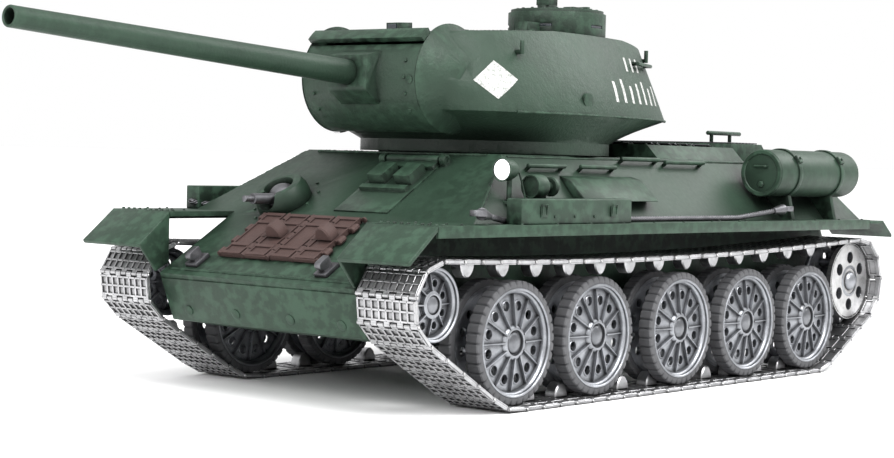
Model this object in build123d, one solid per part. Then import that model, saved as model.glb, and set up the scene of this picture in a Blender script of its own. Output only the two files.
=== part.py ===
from build123d import *
import math
import os

# A radio-controlled model tank at 1:16.  Millimetres, +X towards the gun, +Y to the tank's left, +Z up.
# The model is laid out on a hull datum: X = 0 midway between road wheels 2 and 3, Y = 0 on the centre
# plane, Z = 0 on the ground.  place() shifts it along X so that the origin is under its middle.

# ---- clearances -------------------------------------------------------------------------------------
RUN_FIT = 0.06            # radial clearance of a shaft in its bore
SLIP = 0.35               # gap between curved or sliding faces of different bodies
SEAM = 0.3                # gap round a hatch or a door
WALL = 2.5                # hull wall

# ---- lower hull -------------------------------------------------------------------------------------
HULL_HALF = 57.0          # half width outside the side walls
BELLY_Z = 25.5
BELLY_FRONT_X = 117.6
BELLY_REAR_X = -203.0
CHIN_X, CHIN_Z = 150.0, 30.4
NOSE_X, NOSE_Z = 158.6, 50.9
TAIL_X, TAIL_Z = -216.0, 66.0

# ---- upper hull -------------------------------------------------------------------------------------
ROOF_Z = 106.0
ROOF_FRONT_X, ROOF_REAR_X = 67.0, -192.0
ROOF_HALF = 57.0          # half width of the roof
SPONSON_HALF = 81.5       # half width where the sloped side meets the shelf
SHELF_Z, SHELF_THICK = 77.4, 2.2
SHELF_HALF = 95.0
SHELF_FRONT_X, SHELF_REAR_X = 152.7, -196.0
LIP_WIDE, LIP_DEEP = 1.2, 2.6
GUARD_GAP, REAR_BEND_X, GUARD_TIP_Z = 0.1, -211.0, 69.5
FRONT_TIP_X, FRONT_TIP_Z = 170.0, 63.6
COVER_R, COVER_THICK = 14.0, 2.0
OUTLET_Y, OUTLET_SHARE, OUTLET_R, PIPE_WALL, COWL_R, COWL_TALL = 32.0, 0.40, 4.4, 1.2, 8.0, 3.0
GLACIS_ANGLE = math.degrees(math.atan2(ROOF_Z - NOSE_Z, NOSE_X - ROOF_FRONT_X))
GLACIS_LONG = math.hypot(ROOF_Z - NOSE_Z, NOSE_X - ROOF_FRONT_X)
GLACIS = Plane(origin=(ROOF_FRONT_X, 0, ROOF_Z),
               x_dir=(NOSE_X - ROOF_FRONT_X, 0, NOSE_Z - ROOF_Z),
               z_dir=(ROOF_Z - NOSE_Z, 0, NOSE_X - ROOF_FRONT_X))

# ---- running gear -----------------------------------------------------------------------------------
TRACK_Y, TRACK_WIDE, PLATE_THICK = 76.6, 31.2, 2.0
LINK_PITCH = 11.8         # wanted pitch; the real one closes the loop with whole links
HORN_TALL, HORN_WIDE, HORN_LONG = 6.5, 6.0, 8.6
TRACK_SAG = 3.8
TRACK_PHASE = 10          # line points, about 1 mm apart, that the first pin is moved along
CLIMB = 3.0               # how far past the end wheels' centres the track starts to climb
PIN_R = 0.55
WHEEL_R, TYRE_THICK = 25.9, 3.0
WHEEL_WIDE, DISC_WIDE, WEB_THICK = 21.6, 7.0, 2.0
AXLE_SHORT, CAP_SEAT = 4.0, 2.5   # axle end and cap seat, in from the wheel's outer face
WHEEL_GAP = 0.3           # tyre to track plate
WHEEL_SPACING, MIDDLE_GAP = 58.5, 65.4
WHEEL_X = [MIDDLE_GAP / 2 + WHEEL_SPACING, MIDDLE_GAP / 2, -MIDDLE_GAP / 2,
           -MIDDLE_GAP / 2 - WHEEL_SPACING, -MIDDLE_GAP / 2 - 2 * WHEEL_SPACING]
WHEEL_Z = PLATE_THICK + WHEEL_GAP + WHEEL_R
AXLE_R, HUB_R = 2.5, 6.2
WHEEL_HOLES, WHEEL_HOLE_R, WHEEL_HOLE_PCR = 12, 2.1, 15.6
ARM_LONG, ARM_RISE, ARM_THICK, ARM_R, ARM_HALF = 24.0, 2.5, 3.6, 5.0, 3.6
ARM_PIN_R, PIN_END = 3.0, 3.6
ARM_SWING = 12.0          # degrees of travel
IDLER_X, IDLER_Z, IDLER_R = 144.5, 46.0, 15.0
SPROCKET_X, SPROCKET_Z, SPROCKET_R = -194.5, 45.0, 19.8
SPROCKET_FACE_Y, SPROCKET_DISC, SPROCKET_HUB_R = 85.0, 2.6, 7.0
ROLLERS, ROLLER_R, ROLLER_PCR = 6, 1.9, 10.9

# ---- drive ------------------------------------------------------------------------------------------
GEAR_MODULE, GEAR_TEETH, PINION_TEETH = 0.9, 24, 12
GEAR_Y, GEAR_WIDE = 42.5, 5.0
GEARBOX_PLATE, GEARBOX_LOW, GEARBOX_HIGH, GEAR_ROOM = 2.0, 29.5, 60.5, 1.5
TURN_MOTOR_R, TURN_MOTOR_Z = 10.0, 62.0
MOTOR_R, MOTOR_LONG = 14.0, 32.0
PINION_X = SPROCKET_X + GEAR_MODULE * (GEAR_TEETH + PINION_TEETH) / 2
MOTOR_SHAFT_R = 1.2

# ---- turret -----------------------------------------------------------------------------------------
RING_X = 7.5              # turret axis
COLLAR_R, COLLAR_TOP_Z = 58.5, 112.0
TURRET_FLOOR_Z = ROOF_Z + 0.5
CREASE_Z, BELT_Z, TURRET_TOP_Z = 124.5, 137.0, 162.0
TURRET_WALL = 3.0
ROOF_DROP_FRONT, ROOF_RUN_FRONT = 3.8, 66.0     # the roof falls this much over this length
ROOF_DROP_REAR, ROOF_RUN_REAR = 3.6, 47.0
ROOF_FLAT_FRONT_X, ROOF_FLAT_REAR_X = 22.0, -45.0
RACE_R, RACE_BORE_R = 50.0, 36.0
RING_MODULE, RING_TEETH, TURN_TEETH = 1.5, 60, 12
RING_GEAR_Z, RING_GEAR_WIDE = 96.5, 5.0
TURN_X = RING_X - RING_MODULE * (RING_TEETH + TURN_TEETH) / 2
TRUNNION_X, TRUNNION_Z, TRUNNION_R = 74.0, 138.0, 3.0
GUN_ANGLE = 3.6           # degrees above level at rest
SHIELD_R, SHIELD_THICK, SHIELD_HALF = 23.4, 3.0, 33.0
SHIELD_UP, SHIELD_DOWN = 38.0, 84.0
VISOR_R, VISOR_THICK, VISOR_LOW, VISOR_HIGH = 23.9, 2.6, 40.5, 54.0
CHEEK_R, CHEEK_TIP_R, CHEEK_WIDE = 24.2, 8.0, 12.5
HOUSING_X = 104.0
BARREL_ROOT_R, MUZZLE_R, MUZZLE_BORE_R = 5.45, 4.2, 3.05
MUZZLE_X = 286.1
RECOIL = 8.0
CUPOLA_X, CUPOLA_Y, CUPOLA_R, CUPOLA_TOP_Z = -17.3, 22.0, 23.1, 174.5
CUPOLA_HATCH_R = 15.5
LOADER_X, LOADER_Y, LOADER_R = -14.0, -24.0, 13.0
SKIN_GAP = 0.02           # fittings stand this far off the part they are fixed to
HOOK_SEATS, HOOK_R = [(51.0, 51.2, 151.0), (-76.0, 30.0, 154.0)], 1.0
SIDE_RAIL, RAIL_R = ((-47.0, 48.4, 151.0), (-73.0, 38.2, 151.0)), 0.9
PORT_PLUG = (14.0, 63.4, 131.0)

# ---- glacis and deck fittings ------------------------------------------------------------------------
HATCH_TOP, HATCH_LONG = 9.5, 41.5          # driver's hatch, measured down the slope from the roof edge
HATCH_Y0, HATCH_WIDE, HATCH_THICK = 0.6, 30.4, 3.0
BOW_X, BOW_Y, BOW_BALL_R, BOW_DOME_R = 106.5, -33.2, 7.0, 12.5
BOW_TIP_X, BOW_PIVOT_R, BOW_SLEEVE_R = 132.0, 1.2, 2.4
BOW_LIFT = 1.8            # ball centre above the glacis face
SPARE_TOP, SPARE_LONG, SPARE_Y0, SPARE_Y1, SPARE_THICK = 59.0, 33.0, -33.0, 25.5, 2.6
DECK_X0, DECK_X1, DECK_HALF, DECK_TOP_Z = -140.0, -62.0, 45.0, 112.7
GRILLE_X0, GRILLE_X1, GRILLE_HALF, GRILLE_TOP_Z = -186.0, -143.0, 40.0, 115.0
DRUM_R, DRUM_Y, DRUM_Z = 11.7, 79.0, 100.4
STRAP_INSET, STRAP_HALF, STRAP_THICK = 18.0, 1.5, 0.8
DRUM_SPANS = [("left", -190.5, -112.5), ("right", -190.5, -112.5), ("right", -96.0, -18.0)]
BOX_X0, BOX_X1, BOX_Y0, BOX_Y1, BOX_TOP_Z = 20.0, 98.5, 85.4, 93.6, 88.0
SAW_X0, SAW_X1, SAW_LOW, SAW_HIGH, SAW_WIDE = -21.0, 35.0, 9.0, 20.0, 6.0
RIGHT_BOX_X0, RIGHT_BOX_X1 = 40.0, 110.0
CABLE_R = 1.1

# ---- electrics --------------------------------------------------------------------------------------
DOOR_X0, DOOR_X1, DOOR_HALF, DOOR_THICK = -30.0, 64.0, 26.0, 2.0
PACK_HALF, PACK_TALL = 22.0, 25.5
BOARD_X0, BOARD_X1, BOARD_HALF, BOARD_THICK = -128.0, -72.0, 30.0, 1.6
BOARD_Z = BELLY_Z + 14.0
SPEAKER_X, SPEAKER_R = 96.0, 18.0
SWITCH_X, SWITCH_Y, SWITCH_TRAVEL = -60.0, 22.0, 4.0
SOCKET_X, SOCKET_Y, SOCKET_R, SOCKET_DEEP = -60.0, -22.0, 2.8, 9.0

# ---- frame ------------------------------------------------------------------------------------------
GUARD_TIP_X = -221.0      # rear mudguard tips, the rearmost edge
ORIGIN_X = (MUZZLE_X + GUARD_TIP_X) / 2
SIDES = (("left", 1), ("right", -1))


# ---- shape helpers ----------------------------------------------------------------------------------
def block(x0, x1, y0, y1, z0, z1):
    """A square-edged solid between two corners."""
    return Pos((x0 + x1) / 2, (y0 + y1) / 2, (z0 + z1) / 2) * Box(x1 - x0, y1 - y0, z1 - z0)


def side_prism(points, y0, y1):
    """An X-Z outline run across from y0 to y1."""
    wire = Wire.make_polygon([Vector(x, y0, z) for x, z in points])
    return Solid.extrude(Face(wire), Vector(0, y1 - y0, 0))


def cross_prism(points, x0, x1):
    """A Y-Z outline run along from x0 to x1."""
    wire = Wire.make_polygon([Vector(x0, y, z) for y, z in points])
    return Solid.extrude(Face(wire), Vector(x1 - x0, 0, 0))


def plan_prism(points, z0, z1):
    """An X-Y outline raised from z0 to z1."""
    wire = Wire.make_polygon([Vector(x, y, z0) for x, y in points])
    return Solid.extrude(Face(wire), Vector(0, 0, z1 - z0))


def rod(start, end, radius, end_radius=None):
    """A round bar, or a cone, between two points."""
    start, end = Vector(*start), Vector(*end)
    plane = Plane(origin=start, z_dir=end - start)
    low = (Align.CENTER, Align.CENTER, Align.MIN)
    if end_radius is None:
        return plane * Cylinder(radius, (end - start).length, align=low)
    return plane * Cone(radius, end_radius, (end - start).length, align=low)


def disc_y(x, z, radius, y0, y1):
    """A round disc on a crosswise axis."""
    return rod((x, y0, z), (x, y1, z), radius)


def disc_z(x, y, radius, z0, z1):
    """A round disc on an upright axis."""
    return rod((x, y, z0), (x, y, z1), radius)


def on_side(shape, sign):
    """The shape as made for the left side, or mirrored to the right."""
    return shape if sign > 0 else mirror(shape, about=Plane.XZ)


def on_glacis(shape):
    """Local x runs down the slope from the roof edge, y to the left, z out of the plate."""
    return GLACIS.location * shape


def glacis_point(along, across, out):
    """A point given on the glacis, in the hull datum."""
    return GLACIS.from_local_coords(Vector(along, across, out))


def gun_point(along, out=0.0, across=0.0):
    """A point given along the gun from the trunnion, and above its line, in the hull datum."""
    tilt = math.radians(GUN_ANGLE)
    return (TRUNNION_X + along * math.cos(tilt) - out * math.sin(tilt), across,
            TRUNNION_Z + along * math.sin(tilt) + out * math.cos(tilt))


def gear(teeth, module, width, bore):
    """A spur gear on +Z from z = 0, one tooth centred on +X, slim teeth for a free mesh."""
    pitch_r = teeth * module / 2
    points = []
    for tooth in range(teeth):
        middle = 2 * math.pi * tooth / teeth
        for radius, half_share in ((pitch_r - 1.2 * module, -0.33), (pitch_r + 0.85 * module, -0.12),
                                   (pitch_r + 0.85 * module, 0.12), (pitch_r - 1.2 * module, 0.33)):
            angle = middle + half_share * 2 * math.pi / teeth
            points.append((radius * math.cos(angle), radius * math.sin(angle)))
    return plan_prism(points, 0, width) - disc_z(0, 0, bore, -1, width + 1)


def place(shape):
    """From the hull datum to the part's own frame."""
    return Pos(-ORIGIN_X, 0, 0) * shape


def save(name, *solids):
    """One node: its separate solids, moved to the part's frame."""
    found = []
    for item in solids:
        found.extend(item.solids())
    export_step(place(Compound(children=found)), f"parts/{name}.step")


# ---- hull -------------------------------------------------------------------------------------------
def inset_line(p, q, depth):
    """The line p-q moved to its right by depth."""
    dx, dz = q[0] - p[0], q[1] - p[1]
    length = math.hypot(dx, dz)
    return ((p[0] + dz / length * depth, p[1] - dx / length * depth),
            (q[0] + dz / length * depth, q[1] - dx / length * depth))


def crossing(first, second):
    """Where two lines meet."""
    (x1, y1), (x2, y2) = first
    (x3, y3), (x4, y4) = second
    bottom = (x1 - x2) * (y3 - y4) - (y1 - y2) * (x3 - x4)
    a, b = x1 * y2 - y1 * x2, x3 * y4 - y3 * x4
    return ((a * (x3 - x4) - (x1 - x2) * b) / bottom, (a * (y3 - y4) - (y1 - y2) * b) / bottom)


def inset(points, depth):
    """A closed outline, given clockwise, pulled in by depth."""
    lines = [inset_line(points[i], points[(i + 1) % len(points)], depth) for i in range(len(points))]
    return [crossing(lines[i - 1], lines[i]) for i in range(len(points))]


def hull_outline():
    """Side outline of the whole hull, clockwise from the tail."""
    return [(TAIL_X, TAIL_Z), (ROOF_REAR_X, ROOF_Z), (ROOF_FRONT_X, ROOF_Z), (NOSE_X, NOSE_Z),
            (CHIN_X, CHIN_Z), (BELLY_FRONT_X, BELLY_Z), (BELLY_REAR_X, BELLY_Z)]


SPLIT_Z = SHELF_Z - SHELF_THICK        # joint between the two hull halves


def lower_hull():
    """Open tub with the belly, the nose and both side walls, bored for every axle."""
    outer = inset(hull_outline(), 0)
    inner = inset(hull_outline(), WALL)
    tub = side_prism(outer, -HULL_HALF, HULL_HALF)
    tub -= side_prism(inner, WALL - HULL_HALF, HULL_HALF - WALL)
    tub -= block(TAIL_X - 10, NOSE_X + 10, -100, 100, SPLIT_Z, ROOF_Z + 10)
    # the glacis plate and the rear plate belong to their own pieces
    glacis_under = glacis_point(0, 0, -WALL), glacis_point(GLACIS_LONG + 20, 0, -WALL)
    above = [(NOSE_X + 40, ROOF_Z), (ROOF_FRONT_X, ROOF_Z + 20)]
    tub -= side_prism([(p.X, p.Z) for p in glacis_under] + above, -100, 100)
    tub -= rear_plate_solid(SEAM)
    for _, sign in SIDES:
        for index, x in enumerate(WHEEL_X):
            tub -= cross_bore(arm_pivot_x(index), WHEEL_Z + ARM_RISE, ARM_PIN_R + RUN_FIT, sign)
        tub -= cross_bore(SPROCKET_X, SPROCKET_Z, AXLE_R + RUN_FIT, sign)
    tub -= block(DOOR_X0 - SEAM, DOOR_X1 + SEAM, -DOOR_HALF - SEAM, DOOR_HALF + SEAM,
                 BELLY_Z - 1, BELLY_Z + DOOR_THICK)
    tub -= block(DOOR_X0 + 3, DOOR_X1 - 3, 3 - DOOR_HALF, DOOR_HALF - 3, BELLY_Z, BELLY_Z + WALL + 1)
    tub -= block(SWITCH_X - 3 - SWITCH_TRAVEL, SWITCH_X + 3 + SEAM, SWITCH_Y - 2.3, SWITCH_Y + 2.3,
                 BELLY_Z - 1, BELLY_Z + WALL + 1)
    tub += disc_z(SOCKET_X, SOCKET_Y, SOCKET_R + 2, BELLY_Z + WALL, BELLY_Z + SOCKET_DEEP + 1.5)
    tub -= disc_z(SOCKET_X, SOCKET_Y, SOCKET_R, BELLY_Z - 1, BELLY_Z + SOCKET_DEEP)
    stubs = [on_side(idler_stub(), sign) for _, sign in SIDES]
    return [tub] + stubs


def cross_bore(x, z, radius, sign):
    """A hole through one side wall, deep enough for a pin's end."""
    return on_side(disc_y(x, z, radius, HULL_HALF - WALL - PIN_END, HULL_HALF + 2), sign)


def idler_stub():
    """Fixed axle that an idler turns on, flanged against the side wall."""
    axle = disc_y(IDLER_X, IDLER_Z, AXLE_R, HULL_HALF, TRACK_Y + WHEEL_WIDE / 2 - AXLE_SHORT)
    return axle + disc_y(IDLER_X, IDLER_Z, HUB_R, HULL_HALF, HULL_HALF + 3)


def upper_section(depth, floor):
    """Cross outline of the sponsons and roof above a floor height, pulled in by depth."""
    side = inset_line((-SPONSON_HALF, SHELF_Z), (-ROOF_HALF, ROOF_Z), depth)
    low = crossing(side, ((-SHELF_HALF, floor), (SHELF_HALF, floor)))
    high = crossing(side, ((-SHELF_HALF, ROOF_Z - depth), (SHELF_HALF, ROOF_Z - depth)))
    return [low, high, (-high[0], high[1]), (-low[0], low[1])]


def upper_block(depth, floor):
    """The closed upper shape above a floor height, pulled in by depth."""
    long_shape = side_prism(inset(hull_outline(), depth), -SHELF_HALF, SHELF_HALF)
    return long_shape & cross_prism(upper_section(depth, floor), TAIL_X - 20, NOSE_X + 20)


def upper_hull():
    """Glacis, sloped sides, roof with the turret opening, and the track shelves."""
    shell = upper_block(0, SPLIT_Z) - upper_block(WALL, SHELF_Z)
    well = side_prism(inset(hull_outline(), WALL), WALL - HULL_HALF, HULL_HALF - WALL)
    shell -= well & block(TAIL_X, NOSE_X, -HULL_HALF, HULL_HALF, SPLIT_Z - 1, SHELF_Z + 1)
    nose = on_glacis(block(0, GLACIS_LONG, -HULL_HALF, HULL_HALF, -WALL, 0))
    shell += nose
    for _, sign in SIDES:
        shelf = block(SHELF_REAR_X, SHELF_FRONT_X, HULL_HALF, SHELF_HALF, SPLIT_Z, SHELF_Z)
        lip = block(SHELF_REAR_X, SHELF_FRONT_X, SHELF_HALF - LIP_WIDE, SHELF_HALF,
                    SPLIT_Z - LIP_DEEP, SPLIT_Z)
        shell += on_side(shelf + lip, sign)
    shell -= disc_z(RING_X, 0, RACE_R + SLIP, ROOF_Z - WALL - 1, ROOF_Z + 1)
    shell -= on_glacis(block(HATCH_TOP - SEAM, HATCH_TOP + HATCH_LONG + SEAM, HATCH_Y0 - SEAM,
                             HATCH_Y0 + HATCH_WIDE + SEAM, -WALL - 1, 1))
    for sign in (1, -1):
        eye_y = HATCH_Y0 + HATCH_WIDE / 2 + sign * (HATCH_WIDE / 2 + 2.2)
        start, end = glacis_point(HATCH_TOP, eye_y - 1.6, 2.2), glacis_point(HATCH_TOP, eye_y + 1.6, 2.2)
        seat = on_glacis(block(HATCH_TOP - 2.2, HATCH_TOP + 2.2, eye_y - 1.6, eye_y + 1.6, -0.5, 2.2))
        eye = rod(start, end, 2.2) + seat
        shell += eye - rod(start, end, 0.9)
    shell -= on_glacis(Pos(bow_local_x(), BOW_Y, 0) * Cylinder(BOW_BALL_R + 1.5, 3 * WALL))
    shell -= rear_plate_solid(SEAM)
    return shell


def bow_local_x():
    """Distance of the bow gun's ball down the glacis."""
    return (BOW_X - ROOF_FRONT_X) / math.cos(math.radians(GLACIS_ANGLE))


def rear_plate_solid(grow=0.0):
    """Sloping upper rear plate between the sponsons; grow leaves a seam in the hull round it."""
    low, high = (TAIL_X, TAIL_Z), (ROOF_REAR_X, ROOF_Z)
    inner_low, inner_high = inset_line(low, high, WALL + grow)
    outside = [(low[0] - 5, low[1] + 1), (high[0] - 5, high[1] + 2)]
    return side_prism([low] + outside + [high, inner_high, inner_low], -HULL_HALF - grow, HULL_HALF + grow)


def rear_slope_point(share, across, out):
    """A point on the upper rear plate: share 0 at the tail, 1 at the roof."""
    dx, dz = ROOF_REAR_X - TAIL_X, ROOF_Z - TAIL_Z
    length = math.hypot(dx, dz)
    return (TAIL_X + dx * share - dz / length * out, across, TAIL_Z + dz * share + dx / length * out)


def rear_plate():
    """Rear armour plate with a round access cover and two outlet cowls."""
    low, high = (TAIL_X, TAIL_Z), (ROOF_REAR_X, ROOF_Z)
    inner_low, inner_high = inset_line(low, high, WALL)
    plate = side_prism([low, high, inner_high, inner_low], SEAM - HULL_HALF, HULL_HALF - SEAM)
    pieces = [plate, rod(rear_slope_point(0.52, 0, 0), rear_slope_point(0.52, 0, COVER_THICK), COVER_R)]
    for y in (-OUTLET_Y, OUTLET_Y):
        seat, face = rear_slope_point(OUTLET_SHARE, y, 0), rear_slope_point(OUTLET_SHARE, y, COWL_TALL)
        opening = rod(rear_slope_point(OUTLET_SHARE, y, -1),
                      rear_slope_point(OUTLET_SHARE, y, COWL_TALL + 1), OUTLET_R + 0.2)
        pieces.append(rod(seat, face, COWL_R) - opening)
    return pieces


def exhaust_pipes():
    """Two bent-down outlet pipes seated on the rear cowls."""
    pipes = []
    for y in (-OUTLET_Y, OUTLET_Y):
        start, end = rear_slope_point(OUTLET_SHARE, y, COWL_TALL), rear_slope_point(0.28, y, 11.0)
        past = (2 * end[0] - start[0], y, 2 * end[2] - start[2])
        pipe = rod(start, rear_slope_point(OUTLET_SHARE, y, COWL_TALL + 2), OUTLET_R + 1.2)
        pipe += rod(start, end, OUTLET_R)
        pipe -= rod(start, past, OUTLET_R - PIPE_WALL)
        pipes.append(pipe - rod(rear_slope_point(OUTLET_SHARE, y, -4), start, COWL_R + 1))
    return pipes


def engine_deck():
    """Raised louvred engine cover and the domed grille behind it, seated on the roof."""
    slope = DECK_TOP_Z - ROOF_Z
    cover = cross_prism([(-DECK_HALF - slope, ROOF_Z), (-DECK_HALF, DECK_TOP_Z), (DECK_HALF, DECK_TOP_Z),
                         (DECK_HALF + slope, ROOF_Z)], DECK_X0, DECK_X1)
    for row in range(9):
        x = DECK_X0 + 8 + row * 7.5
        for y0, y1 in ((-DECK_HALF + 2, -22), (22, DECK_HALF - 2)):
            cover -= block(x, x + 3, y0, y1, DECK_TOP_Z - 1.5, DECK_TOP_Z + 1)
    rise = GRILLE_TOP_Z - ROOF_Z
    arch = [(GRILLE_X0, ROOF_Z), (GRILLE_X0 + rise, GRILLE_TOP_Z), (GRILLE_X1 - rise / 2, GRILLE_TOP_Z)]
    hump = side_prism(arch + [(GRILLE_X1, ROOF_Z)], -GRILLE_HALF, GRILLE_HALF)
    return [cover, hump]


def mudguards():
    """Front guards that dip over the idlers and rear guards that drop behind the sprockets."""
    pieces = []
    front_x, rear_x = SHELF_FRONT_X + GUARD_GAP, SHELF_REAR_X - GUARD_GAP
    inner_y, cheek_x = HULL_HALF + 0.5, NOSE_X + 0.5
    sponson_y = -upper_section(0, SPLIT_Z)[0][0] + GUARD_GAP
    rear_top = SHELF_Z - 0.6
    for _, sign in SIDES:
        tip, under_tip = (FRONT_TIP_X, FRONT_TIP_Z), (FRONT_TIP_X - 1, FRONT_TIP_Z - 1.6)
        dip = side_prism([(front_x, SHELF_Z), tip, under_tip, (front_x, SPLIT_Z)], inner_y, SHELF_HALF)
        lower_edge = [(160.0, NOSE_Z + 0.5), (cheek_x, NOSE_Z + 1.1), (front_x, NOSE_Z + 4.1)]
        cheek = side_prism([(front_x, SPLIT_Z), under_tip] + lower_edge, inner_y, inner_y + 1.5)
        shelf = block(REAR_BEND_X, rear_x, sponson_y, SHELF_HALF, SPLIT_Z, rear_top)
        flap_end = [(GUARD_TIP_X, GUARD_TIP_Z), (GUARD_TIP_X, GUARD_TIP_Z - 1.7)]
        flap = side_prism([(REAR_BEND_X, rear_top)] + flap_end + [(REAR_BEND_X, SPLIT_Z)],
                          HULL_HALF + 2, SHELF_HALF)
        pieces += [on_side(dip + cheek, sign), on_side(shelf + flap, sign)]
    return pieces


def driver_hatch():
    """Driver's hatch with two periscope hoods and its top hinge, closed flush in the glacis."""
    right, left = HATCH_Y0, HATCH_Y0 + HATCH_WIDE
    plate = block(HATCH_TOP, HATCH_TOP + HATCH_LONG, right, left, -WALL, HATCH_THICK - WALL)
    for y in (right + 3, left - 12):
        plate += block(HATCH_TOP + 8, HATCH_TOP + 19, y, y + 9, HATCH_THICK - WALL, HATCH_THICK + 2.2)
    plate += block(HATCH_TOP + 22, HATCH_TOP + 25, right + 2, left - 2,
                   HATCH_THICK - WALL, HATCH_THICK - 0.6)
    solid = on_glacis(plate)
    pin_start = glacis_point(HATCH_TOP, right - 3.6, 2.2)
    pin_end = glacis_point(HATCH_TOP, left + 3.6, 2.2)
    barrel_start = glacis_point(HATCH_TOP, right + 0.4, 2.2)
    barrel_end = glacis_point(HATCH_TOP, left - 0.4, 2.2)
    strap = on_glacis(block(HATCH_TOP, HATCH_TOP + 6, right + 0.4, left - 0.4, HATCH_THICK - WALL, 2.2))
    return solid + rod(pin_start, pin_end, 0.9 - RUN_FIT) + rod(barrel_start, barrel_end, 1.8) + strap


def bow_centre():
    """Middle of the bow gun's ball."""
    return glacis_point(bow_local_x(), BOW_Y, BOW_LIFT)


def bow_gun_housing():
    """Cast dome on the glacis with a spherical seat for the ball."""
    centre = bow_centre()
    dome = Pos(*centre) * Sphere(BOW_DOME_R)
    dome &= on_glacis(block(0, GLACIS_LONG, BOW_Y - 20, BOW_Y + 20, 0, BOW_LIFT + 7.0))
    dome -= Pos(*centre) * Sphere(BOW_BALL_R + SLIP)
    dome -= on_glacis(Pos(bow_local_x(), BOW_Y, BOW_LIFT + 6) * Cone(5.4, 8.0, 12))
    past = (centre.X + BOW_DOME_R * 2, centre.Y, centre.Z)
    return dome - rod(tuple(centre), past, BOW_SLEEVE_R + SLIP, BOW_SLEEVE_R + BOW_DOME_R / 2)


def bow_gun():
    """Ball on its upright pivot, with the machine gun's sleeve and muzzle."""
    centre = bow_centre()
    ball = Pos(centre.X, centre.Y, centre.Z) * Rot(0, 0, 90) * Sphere(BOW_BALL_R)
    ball += disc_z(centre.X, centre.Y, BOW_PIVOT_R, centre.Z - BOW_BALL_R - 2, centre.Z)
    sleeve = rod((centre.X + 1, centre.Y, centre.Z), (BOW_TIP_X - 5, centre.Y, centre.Z), BOW_SLEEVE_R)
    muzzle = rod((BOW_TIP_X - 5.5, centre.Y, centre.Z), (BOW_TIP_X, centre.Y, centre.Z), 1.4)
    return ball + sleeve + muzzle


def spare_track():
    """Spare links laid across the glacis: four plates, two with horns, and two end links."""
    plates = []
    width = (SPARE_Y1 - SPARE_Y0) / 4
    for index in range(4):
        y0 = SPARE_Y0 + index * width
        plate = block(SPARE_TOP, SPARE_TOP + SPARE_LONG, y0 + 0.2, y0 + width - 0.2, 0, SPARE_THICK)
        if index % 2 == 1:
            middle_x, middle_y = SPARE_TOP + SPARE_LONG / 2, y0 + width / 2
            plate += block(middle_x - 4, middle_x + 4, middle_y - 2.2, middle_y + 2.2,
                           SPARE_THICK, SPARE_THICK + 5.5)
        plates.append(on_glacis(plate))
    return plates


def tow_hooks():
    """Two hooks on the lower glacis and two on the tail."""
    hooks = []
    for y in (-42.5, 34.0):
        base = block(92, 101, y - 3.4, y + 3.4, 0, 1.8)
        hook = block(94, 99, y - 1.6, y + 1.6, 1.8, 6.4)
        tip = Pos(99, y, 4.6) * Rot(90, 0, 0) * Cylinder(1.8, 3.2)
        hooks.append(on_glacis(base + hook + tip))
    for y in (-46.0, 46.0):
        share = 0.3
        x = TAIL_X + (BELLY_REAR_X - TAIL_X) * share
        z = TAIL_Z + (BELLY_Z - TAIL_Z) * share
        shape = [(x, z), (x - 4.2, z + 1.0), (x - 6.0, z + 10.0), (x - 8.0, z + 10.0), (x - 8.0, z - 3.0),
                 (x + 0.3, z - 6.0)]
        hull_side = [(TAIL_X, TAIL_Z), (BELLY_REAR_X, BELLY_Z), (0, BELLY_Z), (0, TAIL_Z)]
        hooks.append(side_prism(shape, y - 2, y + 2) - side_prism(hull_side, -HULL_HALF, HULL_HALF))
    return hooks


def side_slope_y(z):
    """Y of the sloped sponson side at a height."""
    return SPONSON_HALF + (ROOF_HALF - SPONSON_HALF) * (z - SHELF_Z) / (ROOF_Z - SHELF_Z)


def rail(x0, x1, z, radius=1.0, stand=3.0, sign=1):
    """A grab rail on two feet, standing off the sloped side."""
    y = side_slope_y(z)
    lean = math.atan2(SPONSON_HALF - ROOF_HALF, ROOF_Z - SHELF_Z)
    out_y, out_z = stand * math.cos(lean), stand * math.sin(lean)
    bar = rod((x0, y + out_y, z + out_z), (x1, y + out_y, z + out_z), radius)
    for x in (x0 + 1.5, x1 - 1.5):
        bar += rod((x, y + 0.05 * out_y, z + 0.05 * out_z), (x, y + out_y, z + out_z), radius * 0.9)
    return on_side(bar, sign)


def grab_rails():
    """Rails along both sloped sides and one over the rear grille."""
    rails = []
    for _, sign in SIDES:
        for x0, x1, z in ((31, 58, 99.5), (-8, 19.5, 99.5), (-48, -17, 103.5), (-86, -52, 102.5)):
            rails.append(rail(x0, x1, z, sign=sign))
    deck_rail = rod((-184, 22, 120.5), (-152, 22, 120.5), 1.1)
    for x, foot in ((-174, GRILLE_TOP_Z), (-156, GRILLE_TOP_Z)):
        deck_rail += rod((x, 22, foot + 0.02), (x, 22, 120.5), 1.0)
    rails.append(deck_rail)
    return rails


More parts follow.
